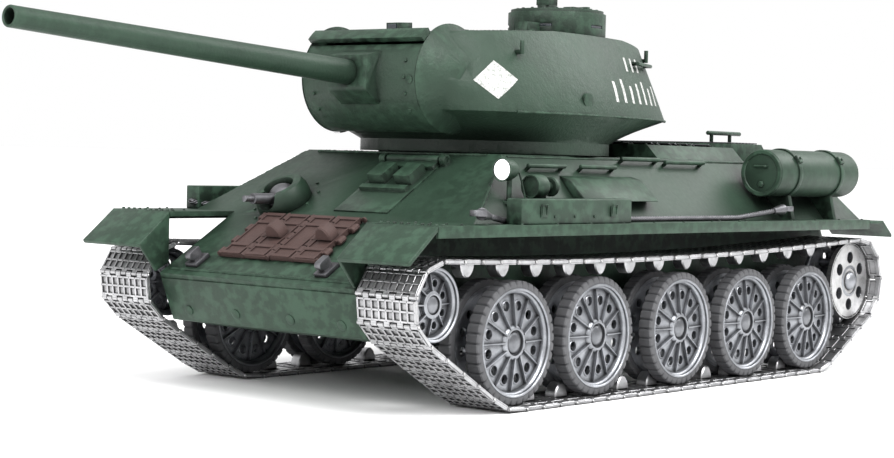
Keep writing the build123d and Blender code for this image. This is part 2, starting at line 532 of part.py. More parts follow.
def tow_cable():
    """Moulded tow cable with an eye fitting at each end, along the left shelf."""
    behind_y = side_slope_y(SHELF_Z + 1.2) + 2.4
    route = [(113.0, 88.0, SHELF_Z + 3.4), (97.0, behind_y + 0.5, SHELF_Z + 1.3),
             (0.0, behind_y, SHELF_Z + 1.2), (-80.0, 86.0, SHELF_Z + 1.4), (-110.0, 88.0, SHELF_Z + 4.6)]
    path = FilletPolyline(*route, radius=[12, 60, 60])
    start = Plane(origin=path @ 0, z_dir=path % 0)
    rope = sweep(start * Circle(CABLE_R), path=path)
    ends = []
    for here, there in ((route[0], route[1]), (route[-1], route[-2])):
        here, there = Vector(*here), Vector(*there)
        away = (here - there).normalized()
        cone = rod(tuple(here), tuple(here + away * 8), 1.5, 2.6)
        eye_at = here + away * 11
        eye = Pos(eye_at.X, eye_at.Y, eye_at.Z) * (Cylinder(3.6, 2.4) - Cylinder(1.8, 4))
        ends.append(cone + eye)
    return [rope] + ends


def stowage_boxes():
    """Long tool box on the left shelf and the sloping saw box behind it."""
    box = block(BOX_X0, BOX_X1, BOX_Y0, BOX_Y1, SHELF_Z + 0.02, BOX_TOP_Z)
    box = fillet(box.edges().filter_by(Axis.X).group_by(Axis.Z)[-1], 0.8)
    low_z, high_z = SHELF_Z + SAW_LOW, SHELF_Z + SAW_HIGH
    y_low, y_high = side_slope_y(low_z) + 0.1, side_slope_y(high_z) + 0.1
    saw = cross_prism([(y_low, low_z), (y_high, high_z), (y_high + SAW_WIDE, high_z - 1.5),
                       (y_low + SAW_WIDE + 0.5, low_z)], SAW_X0, SAW_X1)
    right_box = block(RIGHT_BOX_X0, RIGHT_BOX_X1, -BOX_Y1, -BOX_Y0, SHELF_Z + 0.02, BOX_TOP_Z)
    return [box, saw, right_box]


def fuel_drums():
    """External drums with straps and the brackets that carry them over the shelf."""
    pieces = []
    low_z, high_z = SHELF_Z + 0.02, DRUM_Z - DRUM_R + 2
    foot_outline = [(side_slope_y(low_z) + 0.1, low_z), (side_slope_y(high_z) + 0.1, high_z),
                    (DRUM_Y + 5.5, high_z), (DRUM_Y + 8.5, low_z)]
    for name, x0, x1 in DRUM_SPANS:
        sign = 1 if name == "left" else -1
        drum = rod((x0, DRUM_Y, DRUM_Z), (x1, DRUM_Y, DRUM_Z), DRUM_R)
        pieces.append(on_side(chamfer(drum.edges(), 0.8), sign))
        for x in (x0 + STRAP_INSET, x1 - STRAP_INSET):
            start, end = x - STRAP_HALF, x + STRAP_HALF
            past = end + 0.5, DRUM_Y, DRUM_Z
            strap = rod((start, DRUM_Y, DRUM_Z), (end, DRUM_Y, DRUM_Z), DRUM_R + STRAP_THICK)
            strap -= rod((start - 0.5, DRUM_Y, DRUM_Z), past, DRUM_R)
            foot = cross_prism(foot_outline, start, end)
            foot -= rod((start - 0.5, DRUM_Y, DRUM_Z), past, DRUM_R + STRAP_THICK / 2)
            pieces.append(on_side(strap + foot, sign))
    return pieces


def lamp_and_horn():
    """Headlamp with its lens and bracket, and the round horn beside it, on the left side."""
    lamp_x, lamp_y, lamp_z = 84.0, 74.5, 99.6
    shell = rod((lamp_x - 5, lamp_y, lamp_z), (lamp_x + 3, lamp_y, lamp_z), 2.6, 4.8)
    lens = rod((lamp_x + 3.02, lamp_y, lamp_z), (lamp_x + 4.6, lamp_y, lamp_z), 4.4)
    post = rod((lamp_x - 1, lamp_y, lamp_z - 3.0), (lamp_x - 1, side_slope_y(90.0) + 1.0, 90.0), 1.1)
    horn_x, horn_y, horn_z = 66.0, 78.6, 92.7
    horn = rod((horn_x, horn_y, horn_z), (horn_x + 8.0, horn_y, horn_z), 5.2)
    neck = rod((horn_x - 6, horn_y, horn_z), (horn_x + 0.02, horn_y, horn_z), 2.0)
    cap = rod((horn_x - 8, horn_y, horn_z), (horn_x - 5.5, horn_y, horn_z), 4.2)
    stem = rod((horn_x - 3, horn_y, horn_z - 1), (horn_x - 3, side_slope_y(86.0) + 1.0, 86.0), 1.0)
    return [shell + post, lens, horn + neck + cap + stem]


# ---- electrics and drive ----------------------------------------------------------------------------
def battery_door():
    """Screwed cover under the belly."""
    door = block(DOOR_X0, DOOR_X1, -DOOR_HALF, DOOR_HALF, BELLY_Z, BELLY_Z + DOOR_THICK - 0.05)
    for x in (DOOR_X0 + 6, DOOR_X1 - 6):
        door -= disc_z(x, 0, 1.6, BELLY_Z - 1, BELLY_Z + 1)
    return door


def battery():
    """Battery pack standing in the tub over the door."""
    floor = BELLY_Z + WALL + 0.5
    pack = block(DOOR_X0 + 8, DOOR_X1 - 8, -PACK_HALF, PACK_HALF, floor, floor + PACK_TALL)
    return fillet(pack.edges().filter_by(Axis.X), 5)


def control_board():
    """Circuit board on four posts, with its chips."""
    face = BOARD_Z + BOARD_THICK
    board = block(BOARD_X0, BOARD_X1, -BOARD_HALF, BOARD_HALF, BOARD_Z, face)
    for x, y, w in ((-110, -10, 12), (-90, 12, 8), (-118, 14, 7)):
        board += block(x, x + w, y, y + w, face, face + 2.4)
    for x in (BOARD_X0 + 4, BOARD_X1 - 4):
        for y in (4 - BOARD_HALF, BOARD_HALF - 4):
            board += disc_z(x, y, 2.2, BELLY_Z + WALL + 0.01, BOARD_Z)
    return board


def speaker():
    """Round sound speaker on the tub floor."""
    rim_z, cone_z = BELLY_Z + 6, BELLY_Z + 12
    base = disc_z(SPEAKER_X, 0, SPEAKER_R, BELLY_Z + WALL + 0.01, rim_z)
    cone = rod((SPEAKER_X, 0, rim_z), (SPEAKER_X, 0, cone_z), SPEAKER_R, SPEAKER_R / 2)
    return base + cone + disc_z(SPEAKER_X, 0, SPEAKER_R / 2, cone_z, cone_z + 4)


def power_switch():
    """Slide button of the main switch, in its slot in the belly."""
    knob = block(SWITCH_X - 3, SWITCH_X + 3, SWITCH_Y - 2, SWITCH_Y + 2, BELLY_Z - 0.6, BELLY_Z + WALL + 0.4)
    top = BELLY_Z + WALL + 0.4
    return knob + block(SWITCH_X - 6, SWITCH_X + 6, SWITCH_Y - 4, SWITCH_Y + 4, top, top + 1.6)


def gearboxes():
    """A pair of bearing plates joined by a bridge, on each side of the tail."""
    boxes = []
    y_in, y_out = GEAR_Y - GEAR_WIDE / 2 - GEAR_ROOM, GEAR_Y + GEAR_WIDE / 2 + GEAR_ROOM
    x0, x1 = SPROCKET_X - 6.5, PINION_X + 18
    for _, sign in SIDES:
        frame = block(x0, x1, y_in - GEARBOX_PLATE, y_in, GEARBOX_LOW, GEARBOX_HIGH)
        frame += block(x0, x1, y_out, y_out + GEARBOX_PLATE, GEARBOX_LOW, GEARBOX_HIGH)
        frame += block(PINION_X + 10, x1, y_in, y_out, GEARBOX_LOW, GEARBOX_HIGH)
        frame -= disc_y(SPROCKET_X, SPROCKET_Z, AXLE_R + RUN_FIT, y_in - 4, y_out + 4)
        frame -= disc_y(PINION_X, SPROCKET_Z, MOTOR_SHAFT_R + RUN_FIT, y_in - 4, y_out + 4)
        boxes.append(on_side(frame, sign))
    return boxes


def motors():
    """Two drive motors back to back across the tail, and the turret's turning motor."""
    y_out = GEAR_Y - GEAR_WIDE / 2 - GEAR_ROOM - GEARBOX_PLATE - 0.05
    can = disc_y(PINION_X, SPROCKET_Z, MOTOR_R, y_out - MOTOR_LONG, y_out)
    turning = disc_z(TURN_X, 0, TURN_MOTOR_R, TURN_MOTOR_Z, RING_GEAR_Z - 1.0)
    turning += block(TURN_X - 14, TURN_X + 14, -5, 5, BELLY_Z + WALL, TURN_MOTOR_Z)
    turning -= disc_z(TURN_X, 0, MOTOR_SHAFT_R + RUN_FIT, RING_GEAR_Z - 14, RING_GEAR_Z)
    return [on_side(can, 1), on_side(can, -1), turning]


def motor_pinion():
    """Drive pinion on its shaft."""
    y0 = GEAR_Y - GEAR_WIDE / 2
    wheel = Plane(origin=(PINION_X, y0, SPROCKET_Z), x_dir=(1, 0, 0), z_dir=(0, 1, 0)).location
    half_tooth = Rot(0, 0, 180 / PINION_TEETH)
    turned = wheel * half_tooth * gear(PINION_TEETH, GEAR_MODULE, GEAR_WIDE, MOTOR_SHAFT_R)
    return [turned, disc_y(PINION_X, SPROCKET_Z, MOTOR_SHAFT_R, y0 - 3.4, y0 + GEAR_WIDE + 3.2)]


# ---- running gear -----------------------------------------------------------------------------------
def arm_pivot_x(index):
    """Every arm is pivoted ahead of its wheel and trails back to it."""
    return WHEEL_X[index] + ARM_LONG


def swing_arm(index):
    """Suspension arm: pivot pin into the hull, flat arm, stub axle out to the wheel."""
    pivot, wheel = arm_pivot_x(index), WHEEL_X[index]
    pivot_z = WHEEL_Z + ARM_RISE
    y0 = HULL_HALF + SLIP
    y1 = y0 + ARM_THICK
    arm = disc_y(pivot, pivot_z, ARM_R, y0, y1) + disc_y(wheel, WHEEL_Z, ARM_R - 0.6, y0, y1)
    arm += side_prism([(wheel, WHEEL_Z - ARM_HALF), (pivot, pivot_z - ARM_HALF), (pivot, pivot_z + ARM_HALF),
                       (wheel, WHEEL_Z + ARM_HALF)], y0, y1)
    arm += disc_y(pivot, pivot_z, ARM_PIN_R, HULL_HALF - WALL - PIN_END + 0.2, y0)
    arm += disc_y(wheel, WHEEL_Z, AXLE_R, y1, TRACK_Y + WHEEL_WIDE / 2 - AXLE_SHORT)
    return arm


def twin_wheel(x, z, radius, rim, holes, hole_r, hole_pcr):
    """Hub bored for its axle, and two rimmed and pierced discs pressed onto it."""
    inner_y, outer_y = TRACK_Y - WHEEL_WIDE / 2, TRACK_Y + WHEEL_WIDE / 2
    bore = disc_y(x, z, AXLE_R + RUN_FIT, HULL_HALF, outer_y - AXLE_SHORT + RUN_FIT * 4)
    hub = disc_y(x, z, HUB_R, HULL_HALF + SLIP + ARM_THICK + SLIP, outer_y - CAP_SEAT) - bore
    discs = []
    for y0, face in ((inner_y, inner_y + 1.6), (outer_y - DISC_WIDE, outer_y - 3.6)):
        disc = disc_y(x, z, radius, y0, y0 + DISC_WIDE)
        disc -= disc_y(x, z, radius - rim, y0 - 1, y0 + DISC_WIDE + 1)
        disc += disc_y(x, z, radius - rim + 0.01, face, face + WEB_THICK)
        for index in range(holes):
            angle = 2 * math.pi * (index + 0.5) / holes
            hole_x, hole_z = x + hole_pcr * math.cos(angle), z + hole_pcr * math.sin(angle)
            disc -= disc_y(hole_x, hole_z, hole_r, face - 1, face + 3)
        discs.append(disc - disc_y(x, z, HUB_R, face - 1, face + 3))
    return [hub] + discs


def road_wheel(index):
    """Pressed twin wheel with two rubber tyres and a hub cap."""
    x = WHEEL_X[index]
    rim_r = WHEEL_R - TYRE_THICK
    pieces = twin_wheel(x, WHEEL_Z, rim_r, 1.6, WHEEL_HOLES, WHEEL_HOLE_R, WHEEL_HOLE_PCR)
    inner_y, outer_y = TRACK_Y - WHEEL_WIDE / 2, TRACK_Y + WHEEL_WIDE / 2
    for y0 in (inner_y, outer_y - DISC_WIDE):
        tyre = disc_y(x, WHEEL_Z, WHEEL_R, y0, y0 + DISC_WIDE)
        pieces.append(tyre - disc_y(x, WHEEL_Z, rim_r, y0 - 1, y0 + DISC_WIDE + 1))
    return pieces + [disc_y(x, WHEEL_Z, 4.6, outer_y - CAP_SEAT, outer_y - 1.2)]


def idler_wheel():
    """Front idler: a smaller twin wheel on the fixed axle."""
    pieces = twin_wheel(IDLER_X, IDLER_Z, IDLER_R, 1.4, 8, 1.6, 9.6)
    outer_y = TRACK_Y + WHEEL_WIDE / 2
    return pieces + [disc_y(IDLER_X, IDLER_Z, 4.4, outer_y - CAP_SEAT, outer_y - 1.0)]


def drive_sprocket():
    """Rear drive wheel: two discs with rollers between, its hub and shaft, and the gear in the hull."""
    x, z = SPROCKET_X, SPROCKET_Z
    gear_y0 = GEAR_Y - GEAR_WIDE / 2
    inner_y = 2 * TRACK_Y - SPROCKET_FACE_Y
    shaft = disc_y(x, z, AXLE_R, gear_y0 - 3.0, SPROCKET_FACE_Y - 2)
    hub = disc_y(x, z, SPROCKET_HUB_R, inner_y - 2, SPROCKET_FACE_Y)
    hub -= disc_y(x, z, AXLE_R, inner_y - 3, SPROCKET_FACE_Y - 2)
    pieces = [shaft, hub, disc_y(x, z, 5.0, SPROCKET_FACE_Y, SPROCKET_FACE_Y + 3.0)]
    for y0 in (inner_y, SPROCKET_FACE_Y - SPROCKET_DISC):
        disc = disc_y(x, z, SPROCKET_R, y0, y0 + SPROCKET_DISC)
        disc -= disc_y(x, z, SPROCKET_HUB_R, y0 - 1, y0 + 4)
        for index in range(ROLLERS):
            angle = 2 * math.pi * (index + 0.5) / ROLLERS
            disc -= disc_y(x + 12.2 * math.cos(angle), z + 12.2 * math.sin(angle), 3.1, y0 - 1, y0 + 4)
        pieces.append(disc)
    for index in range(ROLLERS):
        angle = 2 * math.pi * index / ROLLERS
        roller_x, roller_z = x + ROLLER_PCR * math.cos(angle), z + ROLLER_PCR * math.sin(angle)
        pieces.append(disc_y(roller_x, roller_z, ROLLER_R,
                             inner_y + SPROCKET_DISC, SPROCKET_FACE_Y - SPROCKET_DISC))
    gear_at = Plane(origin=(x, gear_y0, z), x_dir=(1, 0, 0), z_dir=(0, 1, 0)).location
    return pieces + [gear_at * gear(GEAR_TEETH, GEAR_MODULE, GEAR_WIDE, AXLE_R)]


# ---- tracks -----------------------------------------------------------------------------------------
PIN_LINE = WHEEL_GAP + PLATE_THICK / 2       # from a wheel's rim out to the middle of a plate


def belt_line():
    """Closely spaced points of the pin line round the wheels, with the sag of the top run."""
    end_r = WHEEL_R + PIN_LINE
    circles = [(WHEEL_X[-1] - CLIMB, WHEEL_Z, end_r), (WHEEL_X[0] + CLIMB, WHEEL_Z, end_r),
               (IDLER_X, IDLER_Z, math.hypot(IDLER_R + PIN_LINE, LINK_PITCH / 2)),
               (SPROCKET_X, SPROCKET_Z, math.hypot(SPROCKET_R + PIN_LINE, LINK_PITCH / 2))]
    tangents = []
    for index, (x0, z0, r0) in enumerate(circles):
        x1, z1, r1 = circles[(index + 1) % len(circles)]
        heading = math.atan2(z1 - z0, x1 - x0)
        out = heading - math.acos((r0 - r1) / math.hypot(x1 - x0, z1 - z0))
        tangents.append(((x0 + r0 * math.cos(out), z0 + r0 * math.sin(out)),
                         (x1 + r1 * math.cos(out), z1 + r1 * math.sin(out)), out))
    points = []
    for index, (start, end, out) in enumerate(tangents):
        count = max(2, int(math.dist(start, end)))
        sag = TRACK_SAG if index == 2 else 0.0
        for step in range(count):
            share = step / count
            points.append((start[0] + (end[0] - start[0]) * share,
                           start[1] + (end[1] - start[1]) * share - 4 * sag * share * (1 - share)))
        x1, z1, r1 = circles[(index + 1) % len(circles)]
        turn = (tangents[(index + 1) % len(tangents)][2] - out) % (2 * math.pi)
        steps = max(2, int(r1 * turn))
        for step in range(steps):
            angle = out + turn * step / steps
            points.append((x1 + r1 * math.cos(angle), z1 + r1 * math.sin(angle)))
    return points


def step_pins(line, pitch, count):
    """Pins stepped round the line at one pitch, and how far round the last step came."""
    pins, index, here = [], 0, line[0]
    for _ in range(count):
        pins.append(here)
        while math.dist(here, line[(index + 1) % len(line)]) < pitch:
            index += 1
        near, far = line[index % len(line)], line[(index + 1) % len(line)]
        low, high = 0.0, 1.0
        for _ in range(40):
            share = (low + high) / 2
            there = (near[0] + (far[0] - near[0]) * share, near[1] + (far[1] - near[1]) * share)
            low, high = (share, high) if math.dist(here, there) < pitch else (low, share)
        here = there
    return pins, index + share


def pin_points():
    """Pins one exact pitch apart that close the loop with an even number of links."""
    line = belt_line()
    line = line[TRACK_PHASE:] + line[:TRACK_PHASE]
    total = sum(math.dist(line[i - 1], line[i]) for i in range(len(line)))
    count = 2 * round(total / LINK_PITCH / 2)
    low, high = 0.97 * total / count, total / count
    for _ in range(50):
        pitch = (low + high) / 2
        pins, travelled = step_pins(line, pitch, count)
        low, high = (pitch, high) if travelled < len(line) else (low, pitch)
    return pins


def track_link(pitch, horned):
    """One link on its own axes: x along the track, z towards the wheels, knuckles at both ends."""
    half, thick = pitch / 2, PLATE_THICK / 2
    core = half - thick - 0.35
    link = block(-core, core, -TRACK_WIDE / 2, TRACK_WIDE / 2, -thick, thick)
    band = TRACK_WIDE / 5
    for number in range(5):
        end = half if number % 2 else -half
        y0, y1 = -TRACK_WIDE / 2 + number * band + 0.2, -TRACK_WIDE / 2 + (number + 1) * band - 0.2
        y0, y1 = (y0 - 0.2 if number == 0 else y0), (y1 + 0.2 if number == 4 else y1)
        root = math.copysign(core, end)
        link += block(min(end, root), max(end, root), y0, y1, -thick, thick)
        link += disc_y(end, 0, thick, y0, y1)
        link -= disc_y(end, 0, PIN_R + RUN_FIT, y0 - 0.1, y1 + 0.1)
    if horned:
        root_x, shoulder_z, tip_z = HORN_LONG / 2, thick + HORN_TALL * 0.45, thick + HORN_TALL
        link += side_prism([(-root_x, thick), (-root_x, shoulder_z), (-1.2, tip_z), (1.2, tip_z),
                            (root_x, shoulder_z), (root_x, thick)], -HORN_WIDE / 2, HORN_WIDE / 2)
    return link


def track_links(sign):
    """Every link of one track, horned and plain in turn."""
    pins = pin_points()
    pitch = math.dist(pins[0], pins[1])
    kinds = [track_link(pitch, True), track_link(pitch, False)]
    links = []
    for number, (x0, z0) in enumerate(pins):
        x1, z1 = pins[(number + 1) % len(pins)]
        seat = Plane(origin=((x0 + x1) / 2, sign * TRACK_Y, (z0 + z1) / 2), x_dir=(x1 - x0, 0, z1 - z0),
                     z_dir=(z0 - z1, 0, x1 - x0))
        links.append(seat.location * kinds[number % 2])
    return links


def track_pins():
    """The pins of both tracks."""
    half = TRACK_WIDE / 2 + 0.4
    return [disc_y(x, z, PIN_R, sign * TRACK_Y - half, sign * TRACK_Y + half)
            for _, sign in SIDES for x, z in pin_points()]


# ---- turret -----------------------------------------------------------------------------------------
# Half outlines of the casting, from the front of the centre plane round the left side to the rear.
CREASE = [(90.0, 0), (89.0, 22), (84.0, 40), (66.0, 57.0), (34.0, 65.0), (0.0, 65.5), (-35.0, 59.0),
          (-72.0, 46.0), (-98.0, 29.0), (-107.0, 12)]
BELT = [(97.5, 0), (96.5, 22), (90.0, 38), (69.0, 52.5), (34.0, 60.5), (0.0, 61.0), (-35.0, 54.5),
        (-70.0, 42.0), (-94.0, 26.0), (-102.5, 11)]
TOP = [(85.0, 0), (84.0, 20), (78.0, 33), (58.0, 44.5), (30.0, 49.0), (0.0, 48.5), (-35.0, 43.0),
       (-66.0, 33.0), (-86.0, 19.0), (-92.0, 8)]


def outline_face(half, z, depth):
    """A smooth closed outline through a half outline and its mirror image, pulled in by depth."""
    points = [(x, y) for x, y in half] + [(half[-1][0] - 1.2, 0)]
    points += [(x, -y) for x, y in reversed(half[1:])]
    pulled = []
    for x, y in points:
        reach = math.hypot(x, y)
        pulled.append(Vector(x * (reach - depth) / reach, y * (reach - depth) / reach, z))
    return Face(Wire([Edge.make_spline(pulled, periodic=True)]))


def collar_outline():
    """The ring collar's circle, with one point for each point of the casting's outlines."""
    half = []
    for x, y in CREASE:
        angle = math.atan2(y, x - RING_X)
        half.append((RING_X + COLLAR_R * math.cos(angle), COLLAR_R * math.sin(angle)))
    return half


def turret_body(depth):
    """The closed turret shape, pulled in by depth."""
    collar = collar_outline()
    top = TURRET_TOP_Z - depth
    levels = [outline_face(collar, COLLAR_TOP_Z, depth), outline_face(CREASE, CREASE_Z, depth),
              outline_face(BELT, BELT_Z, depth), outline_face(TOP, top, depth)]
    body = Solid.extrude(outline_face(collar, TURRET_FLOOR_Z + depth, depth),
                         Vector(0, 0, COLLAR_TOP_Z - TURRET_FLOOR_Z - depth))
    for lower, upper in zip(levels, levels[1:]):
        body += loft([lower, upper], ruled=True)
    front_x, rear_x = 120.0, -130.0
    front_drop = ROOF_DROP_FRONT * (front_x - ROOF_FLAT_FRONT_X) / ROOF_RUN_FRONT
    rear_drop = ROOF_DROP_REAR * (ROOF_FLAT_REAR_X - rear_x) / ROOF_RUN_REAR
    body -= side_prism([(ROOF_FLAT_FRONT_X, top), (front_x, top - front_drop), (front_x, top + 20),
                        (ROOF_FLAT_FRONT_X, top + 20)], -SPONSON_HALF, SPONSON_HALF)
    body -= side_prism([(ROOF_FLAT_REAR_X, top), (ROOF_FLAT_REAR_X, top + 20), (rear_x, top + 20),
                        (rear_x, top - rear_drop)], -SPONSON_HALF, SPONSON_HALF)
    return body


def trunnion_sector(low_angle, high_angle):
    """A wedge about the trunnion line, from a low angle to a high one, full width."""
    far = 80.0
    rays = [math.radians(low_angle + (high_angle - low_angle) * share / 2) for share in range(3)]
    ends = [(TRUNNION_X + far * math.cos(ray), TRUNNION_Z + far * math.sin(ray)) for ray in rays]
    return side_prism([(TRUNNION_X, TRUNNION_Z)] + ends, -COLLAR_R, COLLAR_R)


def turret_shell():
    """Hollow cast turret, open for the gun mantlet, the ring and the hatches."""
    hollow = turret_body(TURRET_WALL)
    shell = turret_body(0)
    for _, sign in SIDES:
        start = (TRUNNION_X, SHIELD_HALF, TRUNNION_Z)
        end = (TRUNNION_X, SHIELD_HALF + CHEEK_WIDE, TRUNNION_Z)
        shell += on_side(rod(start, end, CHEEK_R, CHEEK_TIP_R), sign)
    shell -= hollow
    shell -= disc_z(RING_X, 0, RACE_BORE_R, TURRET_FLOOR_Z - 1, TURRET_FLOOR_Z + TURRET_WALL + 2)
    slot_half = SHIELD_HALF + 0.4
    low, high = TRUNNION_Z - 24.0, TRUNNION_Z + 18.0
    shell -= block(TRUNNION_X - 2, HOUSING_X + 10, -slot_half, slot_half, low, high)
    cheek = block(TRUNNION_X - 7, TRUNNION_X + 7, SHIELD_HALF + 1.0, COLLAR_R,
                  TRUNNION_Z - 7, TRUNNION_Z + 7)
    cheek &= turret_body(TURRET_WALL / 2)
    cheek -= disc_y(TRUNNION_X, TRUNNION_Z, TRUNNION_R + RUN_FIT, SHIELD_HALF, SHIELD_HALF + 6)
    shell += [cheek, on_side(cheek, -1)]
    visor = disc_y(TRUNNION_X, TRUNNION_Z, VISOR_R + VISOR_THICK, -slot_half, slot_half)
    visor -= disc_y(TRUNNION_X, TRUNNION_Z, VISOR_R, -slot_half - 1, slot_half + 1)
    shell += visor & trunnion_sector(VISOR_LOW, VISOR_HIGH)
    shell -= disc_z(LOADER_X, LOADER_Y, LOADER_R - 1.5, TURRET_TOP_Z - 8, TURRET_TOP_Z + 2)
    return shell - disc_z(CUPOLA_X, CUPOLA_Y, CUPOLA_R - 6, TURRET_TOP_Z - 8, TURRET_TOP_Z + 2)


def turret_ring():
    """Race disc in the roof opening and the geared ring under it."""
    ring = disc_z(RING_X, 0, RACE_R, ROOF_Z - WALL - 0.9, TURRET_FLOOR_Z)
    ring += disc_z(RING_X, 0, RING_MODULE * RING_TEETH / 2 - 2, RING_GEAR_Z, ROOF_Z - WALL)
    toothed = gear(RING_TEETH, RING_MODULE, RING_GEAR_WIDE, RACE_BORE_R)
    ring += Pos(RING_X, 0, RING_GEAR_Z) * Rot(0, 0, 180) * toothed
    return ring - disc_z(RING_X, 0, RACE_BORE_R, RING_GEAR_Z - 1, TURRET_FLOOR_Z + 1)


def turret_pinion():
    """Turning pinion in mesh with the ring, on the turning motor's shaft."""
    toothed = gear(TURN_TEETH, RING_MODULE, RING_GEAR_WIDE, MOTOR_SHAFT_R)
    wheel = Pos(TURN_X, 0, RING_GEAR_Z) * Rot(0, 0, 180 / TURN_TEETH) * toothed
    return [wheel, disc_z(TURN_X, 0, MOTOR_SHAFT_R, RING_GEAR_Z - 12, RING_GEAR_Z + RING_GEAR_WIDE)]


def mantlet():
    """Curved gun shield about the trunnions, the barrel's cast housing and the gun cradle."""
    outer = disc_y(TRUNNION_X, TRUNNION_Z, SHIELD_R, -SHIELD_HALF, SHIELD_HALF)
    outer -= disc_y(TRUNNION_X, TRUNNION_Z, SHIELD_R - SHIELD_THICK, -SHIELD_HALF - 1, SHIELD_HALF + 1)
    body = outer & trunnion_sector(-SHIELD_DOWN, SHIELD_UP)
    reach = HOUSING_X - TRUNNION_X
    root = SHIELD_R - SHIELD_THICK
    corners = [(root, 10.5), (reach, 7.6), (reach, -7.6), (root, -13.0)]
    points = [gun_point(a, o) for a, o in corners]
    housing = side_prism([(p[0], p[2]) for p in points], -11, 11)
    housing = fillet(housing.edges().filter_by(Axis.Y).group_by(Axis.X)[-1], 2.5)
    body += housing
    for sign in (1, -1):
        wing = disc_y(TRUNNION_X, TRUNNION_Z, 7.0, SHIELD_HALF - 3.5, SHIELD_HALF)
        wing += side_prism([(TRUNNION_X, TRUNNION_Z - 6), (TRUNNION_X + SHIELD_R - 1.5, TRUNNION_Z - 6),
                            (TRUNNION_X + SHIELD_R - 1.5, TRUNNION_Z + 6), (TRUNNION_X, TRUNNION_Z + 6)],
                           SHIELD_HALF - 3.5, SHIELD_HALF)
        wing += disc_y(TRUNNION_X, TRUNNION_Z, TRUNNION_R, SHIELD_HALF, SHIELD_HALF + 3.6)
        body += on_side(wing, sign)
    body += rod(gun_point(-20), gun_point(SHIELD_R - 1), BARREL_ROOT_R + 3.5)
    return body - rod(gun_point(-30), gun_point(reach + 5), BARREL_ROOT_R + RUN_FIT)


def barrel():
    """Tapered gun tube with a bored muzzle, sliding in the cradle."""
    tilt = math.radians(GUN_ANGLE)
    tip = (MUZZLE_X - TRUNNION_X) / math.cos(tilt)
    root = HOUSING_X - TRUNNION_X + RECOIL + 3
    tube = rod(gun_point(-20), gun_point(root), BARREL_ROOT_R)
    tube += rod(gun_point(root), gun_point(tip), BARREL_ROOT_R, MUZZLE_R)
    return tube - rod(gun_point(tip - 30), gun_point(tip + 2), MUZZLE_BORE_R)


def roof_z(x):
    """Height of the turret roof."""
    if x > ROOF_FLAT_FRONT_X:
        return TURRET_TOP_Z - ROOF_DROP_FRONT * (x - ROOF_FLAT_FRONT_X) / ROOF_RUN_FRONT
    if x < ROOF_FLAT_REAR_X:
        return TURRET_TOP_Z - ROOF_DROP_REAR * (ROOF_FLAT_REAR_X - x) / ROOF_RUN_REAR
    return TURRET_TOP_Z


def cupola():
    """Commander's cupola: a ring with vision slits, a fixed front leaf and its periscope."""
    seat = TURRET_TOP_Z + 0.02
    ring = disc_z(CUPOLA_X, CUPOLA_Y, CUPOLA_R, seat, CUPOLA_TOP_Z - 1.5)
    ring += disc_z(CUPOLA_X, CUPOLA_Y, CUPOLA_R - 1.2, CUPOLA_TOP_Z - 1.5, CUPOLA_TOP_Z)
    ring -= disc_z(CUPOLA_X, CUPOLA_Y, CUPOLA_HATCH_R + SEAM, seat - 1, CUPOLA_TOP_Z + 1)
    for index in range(5):
        turn = Pos(CUPOLA_X, CUPOLA_Y, seat + 4.6) * Rot(0, 0, 20 + 72 * index)
        ring -= turn * Pos(CUPOLA_R, 0, 0) * Box(3, 9, 1.4)
    leaf = disc_z(CUPOLA_X, CUPOLA_Y, CUPOLA_HATCH_R + SEAM, CUPOLA_TOP_Z - 2.2, CUPOLA_TOP_Z)
    leaf &= block(CUPOLA_X + SEAM, CUPOLA_X + 30, CUPOLA_Y - 30, CUPOLA_Y + 30,
                  CUPOLA_TOP_Z - 3, CUPOLA_TOP_Z + 1)
    scope = disc_z(CUPOLA_X + 8, CUPOLA_Y, 4.6, CUPOLA_TOP_Z, CUPOLA_TOP_Z + 2)
    scope += block(CUPOLA_X + 4.5, CUPOLA_X + 12, CUPOLA_Y - 3.4, CUPOLA_Y + 3.4,
                   CUPOLA_TOP_Z + 2, CUPOLA_TOP_Z + 6)
    return ring + leaf + scope


def cupola_hatch():
    """Rear leaf of the cupola, hinged at the rear edge of its ring."""
    leaf = disc_z(CUPOLA_X, CUPOLA_Y, CUPOLA_HATCH_R, CUPOLA_TOP_Z - 2.2, CUPOLA_TOP_Z + 0.6)
    leaf &= block(CUPOLA_X - 30, CUPOLA_X - SEAM, CUPOLA_Y - 30, CUPOLA_Y + 30,
                  CUPOLA_TOP_Z - 3, CUPOLA_TOP_Z + 1)
    hinge_x, hinge_z = cupola_hinge()
    strap = block(hinge_x, hinge_x + 8, CUPOLA_Y - 3, CUPOLA_Y + 3, CUPOLA_TOP_Z + 0.6, hinge_z + 0.9)
    return leaf + strap + disc_y(hinge_x, hinge_z, 1.3, CUPOLA_Y - 3, CUPOLA_Y + 3)


def cupola_hinge():
    """Pivot line of the cupola's leaf."""
    return CUPOLA_X - CUPOLA_HATCH_R - 1.2, CUPOLA_TOP_Z + 1.8


def loader_hatch():
    """Round lid over the loader's opening, hinged at its front edge."""
    lid = disc_z(LOADER_X, LOADER_Y, LOADER_R, TURRET_TOP_Z + 0.1, TURRET_TOP_Z + 2.4)
    lid += disc_z(LOADER_X, LOADER_Y, LOADER_R - 2, TURRET_TOP_Z - 1.5, TURRET_TOP_Z + 0.2)
    hinge_x, hinge_z = loader_hinge()
    strap = block(LOADER_X, hinge_x, LOADER_Y - 3, LOADER_Y + 3, TURRET_TOP_Z + 2.3, TURRET_TOP_Z + 3.2)
    return lid + strap + disc_y(hinge_x, hinge_z, 1.2, LOADER_Y - 3, LOADER_Y + 3)


def loader_hinge():
    """Pivot line of the loader's lid."""
    return LOADER_X + LOADER_R + 1.6, TURRET_TOP_Z + 2.2


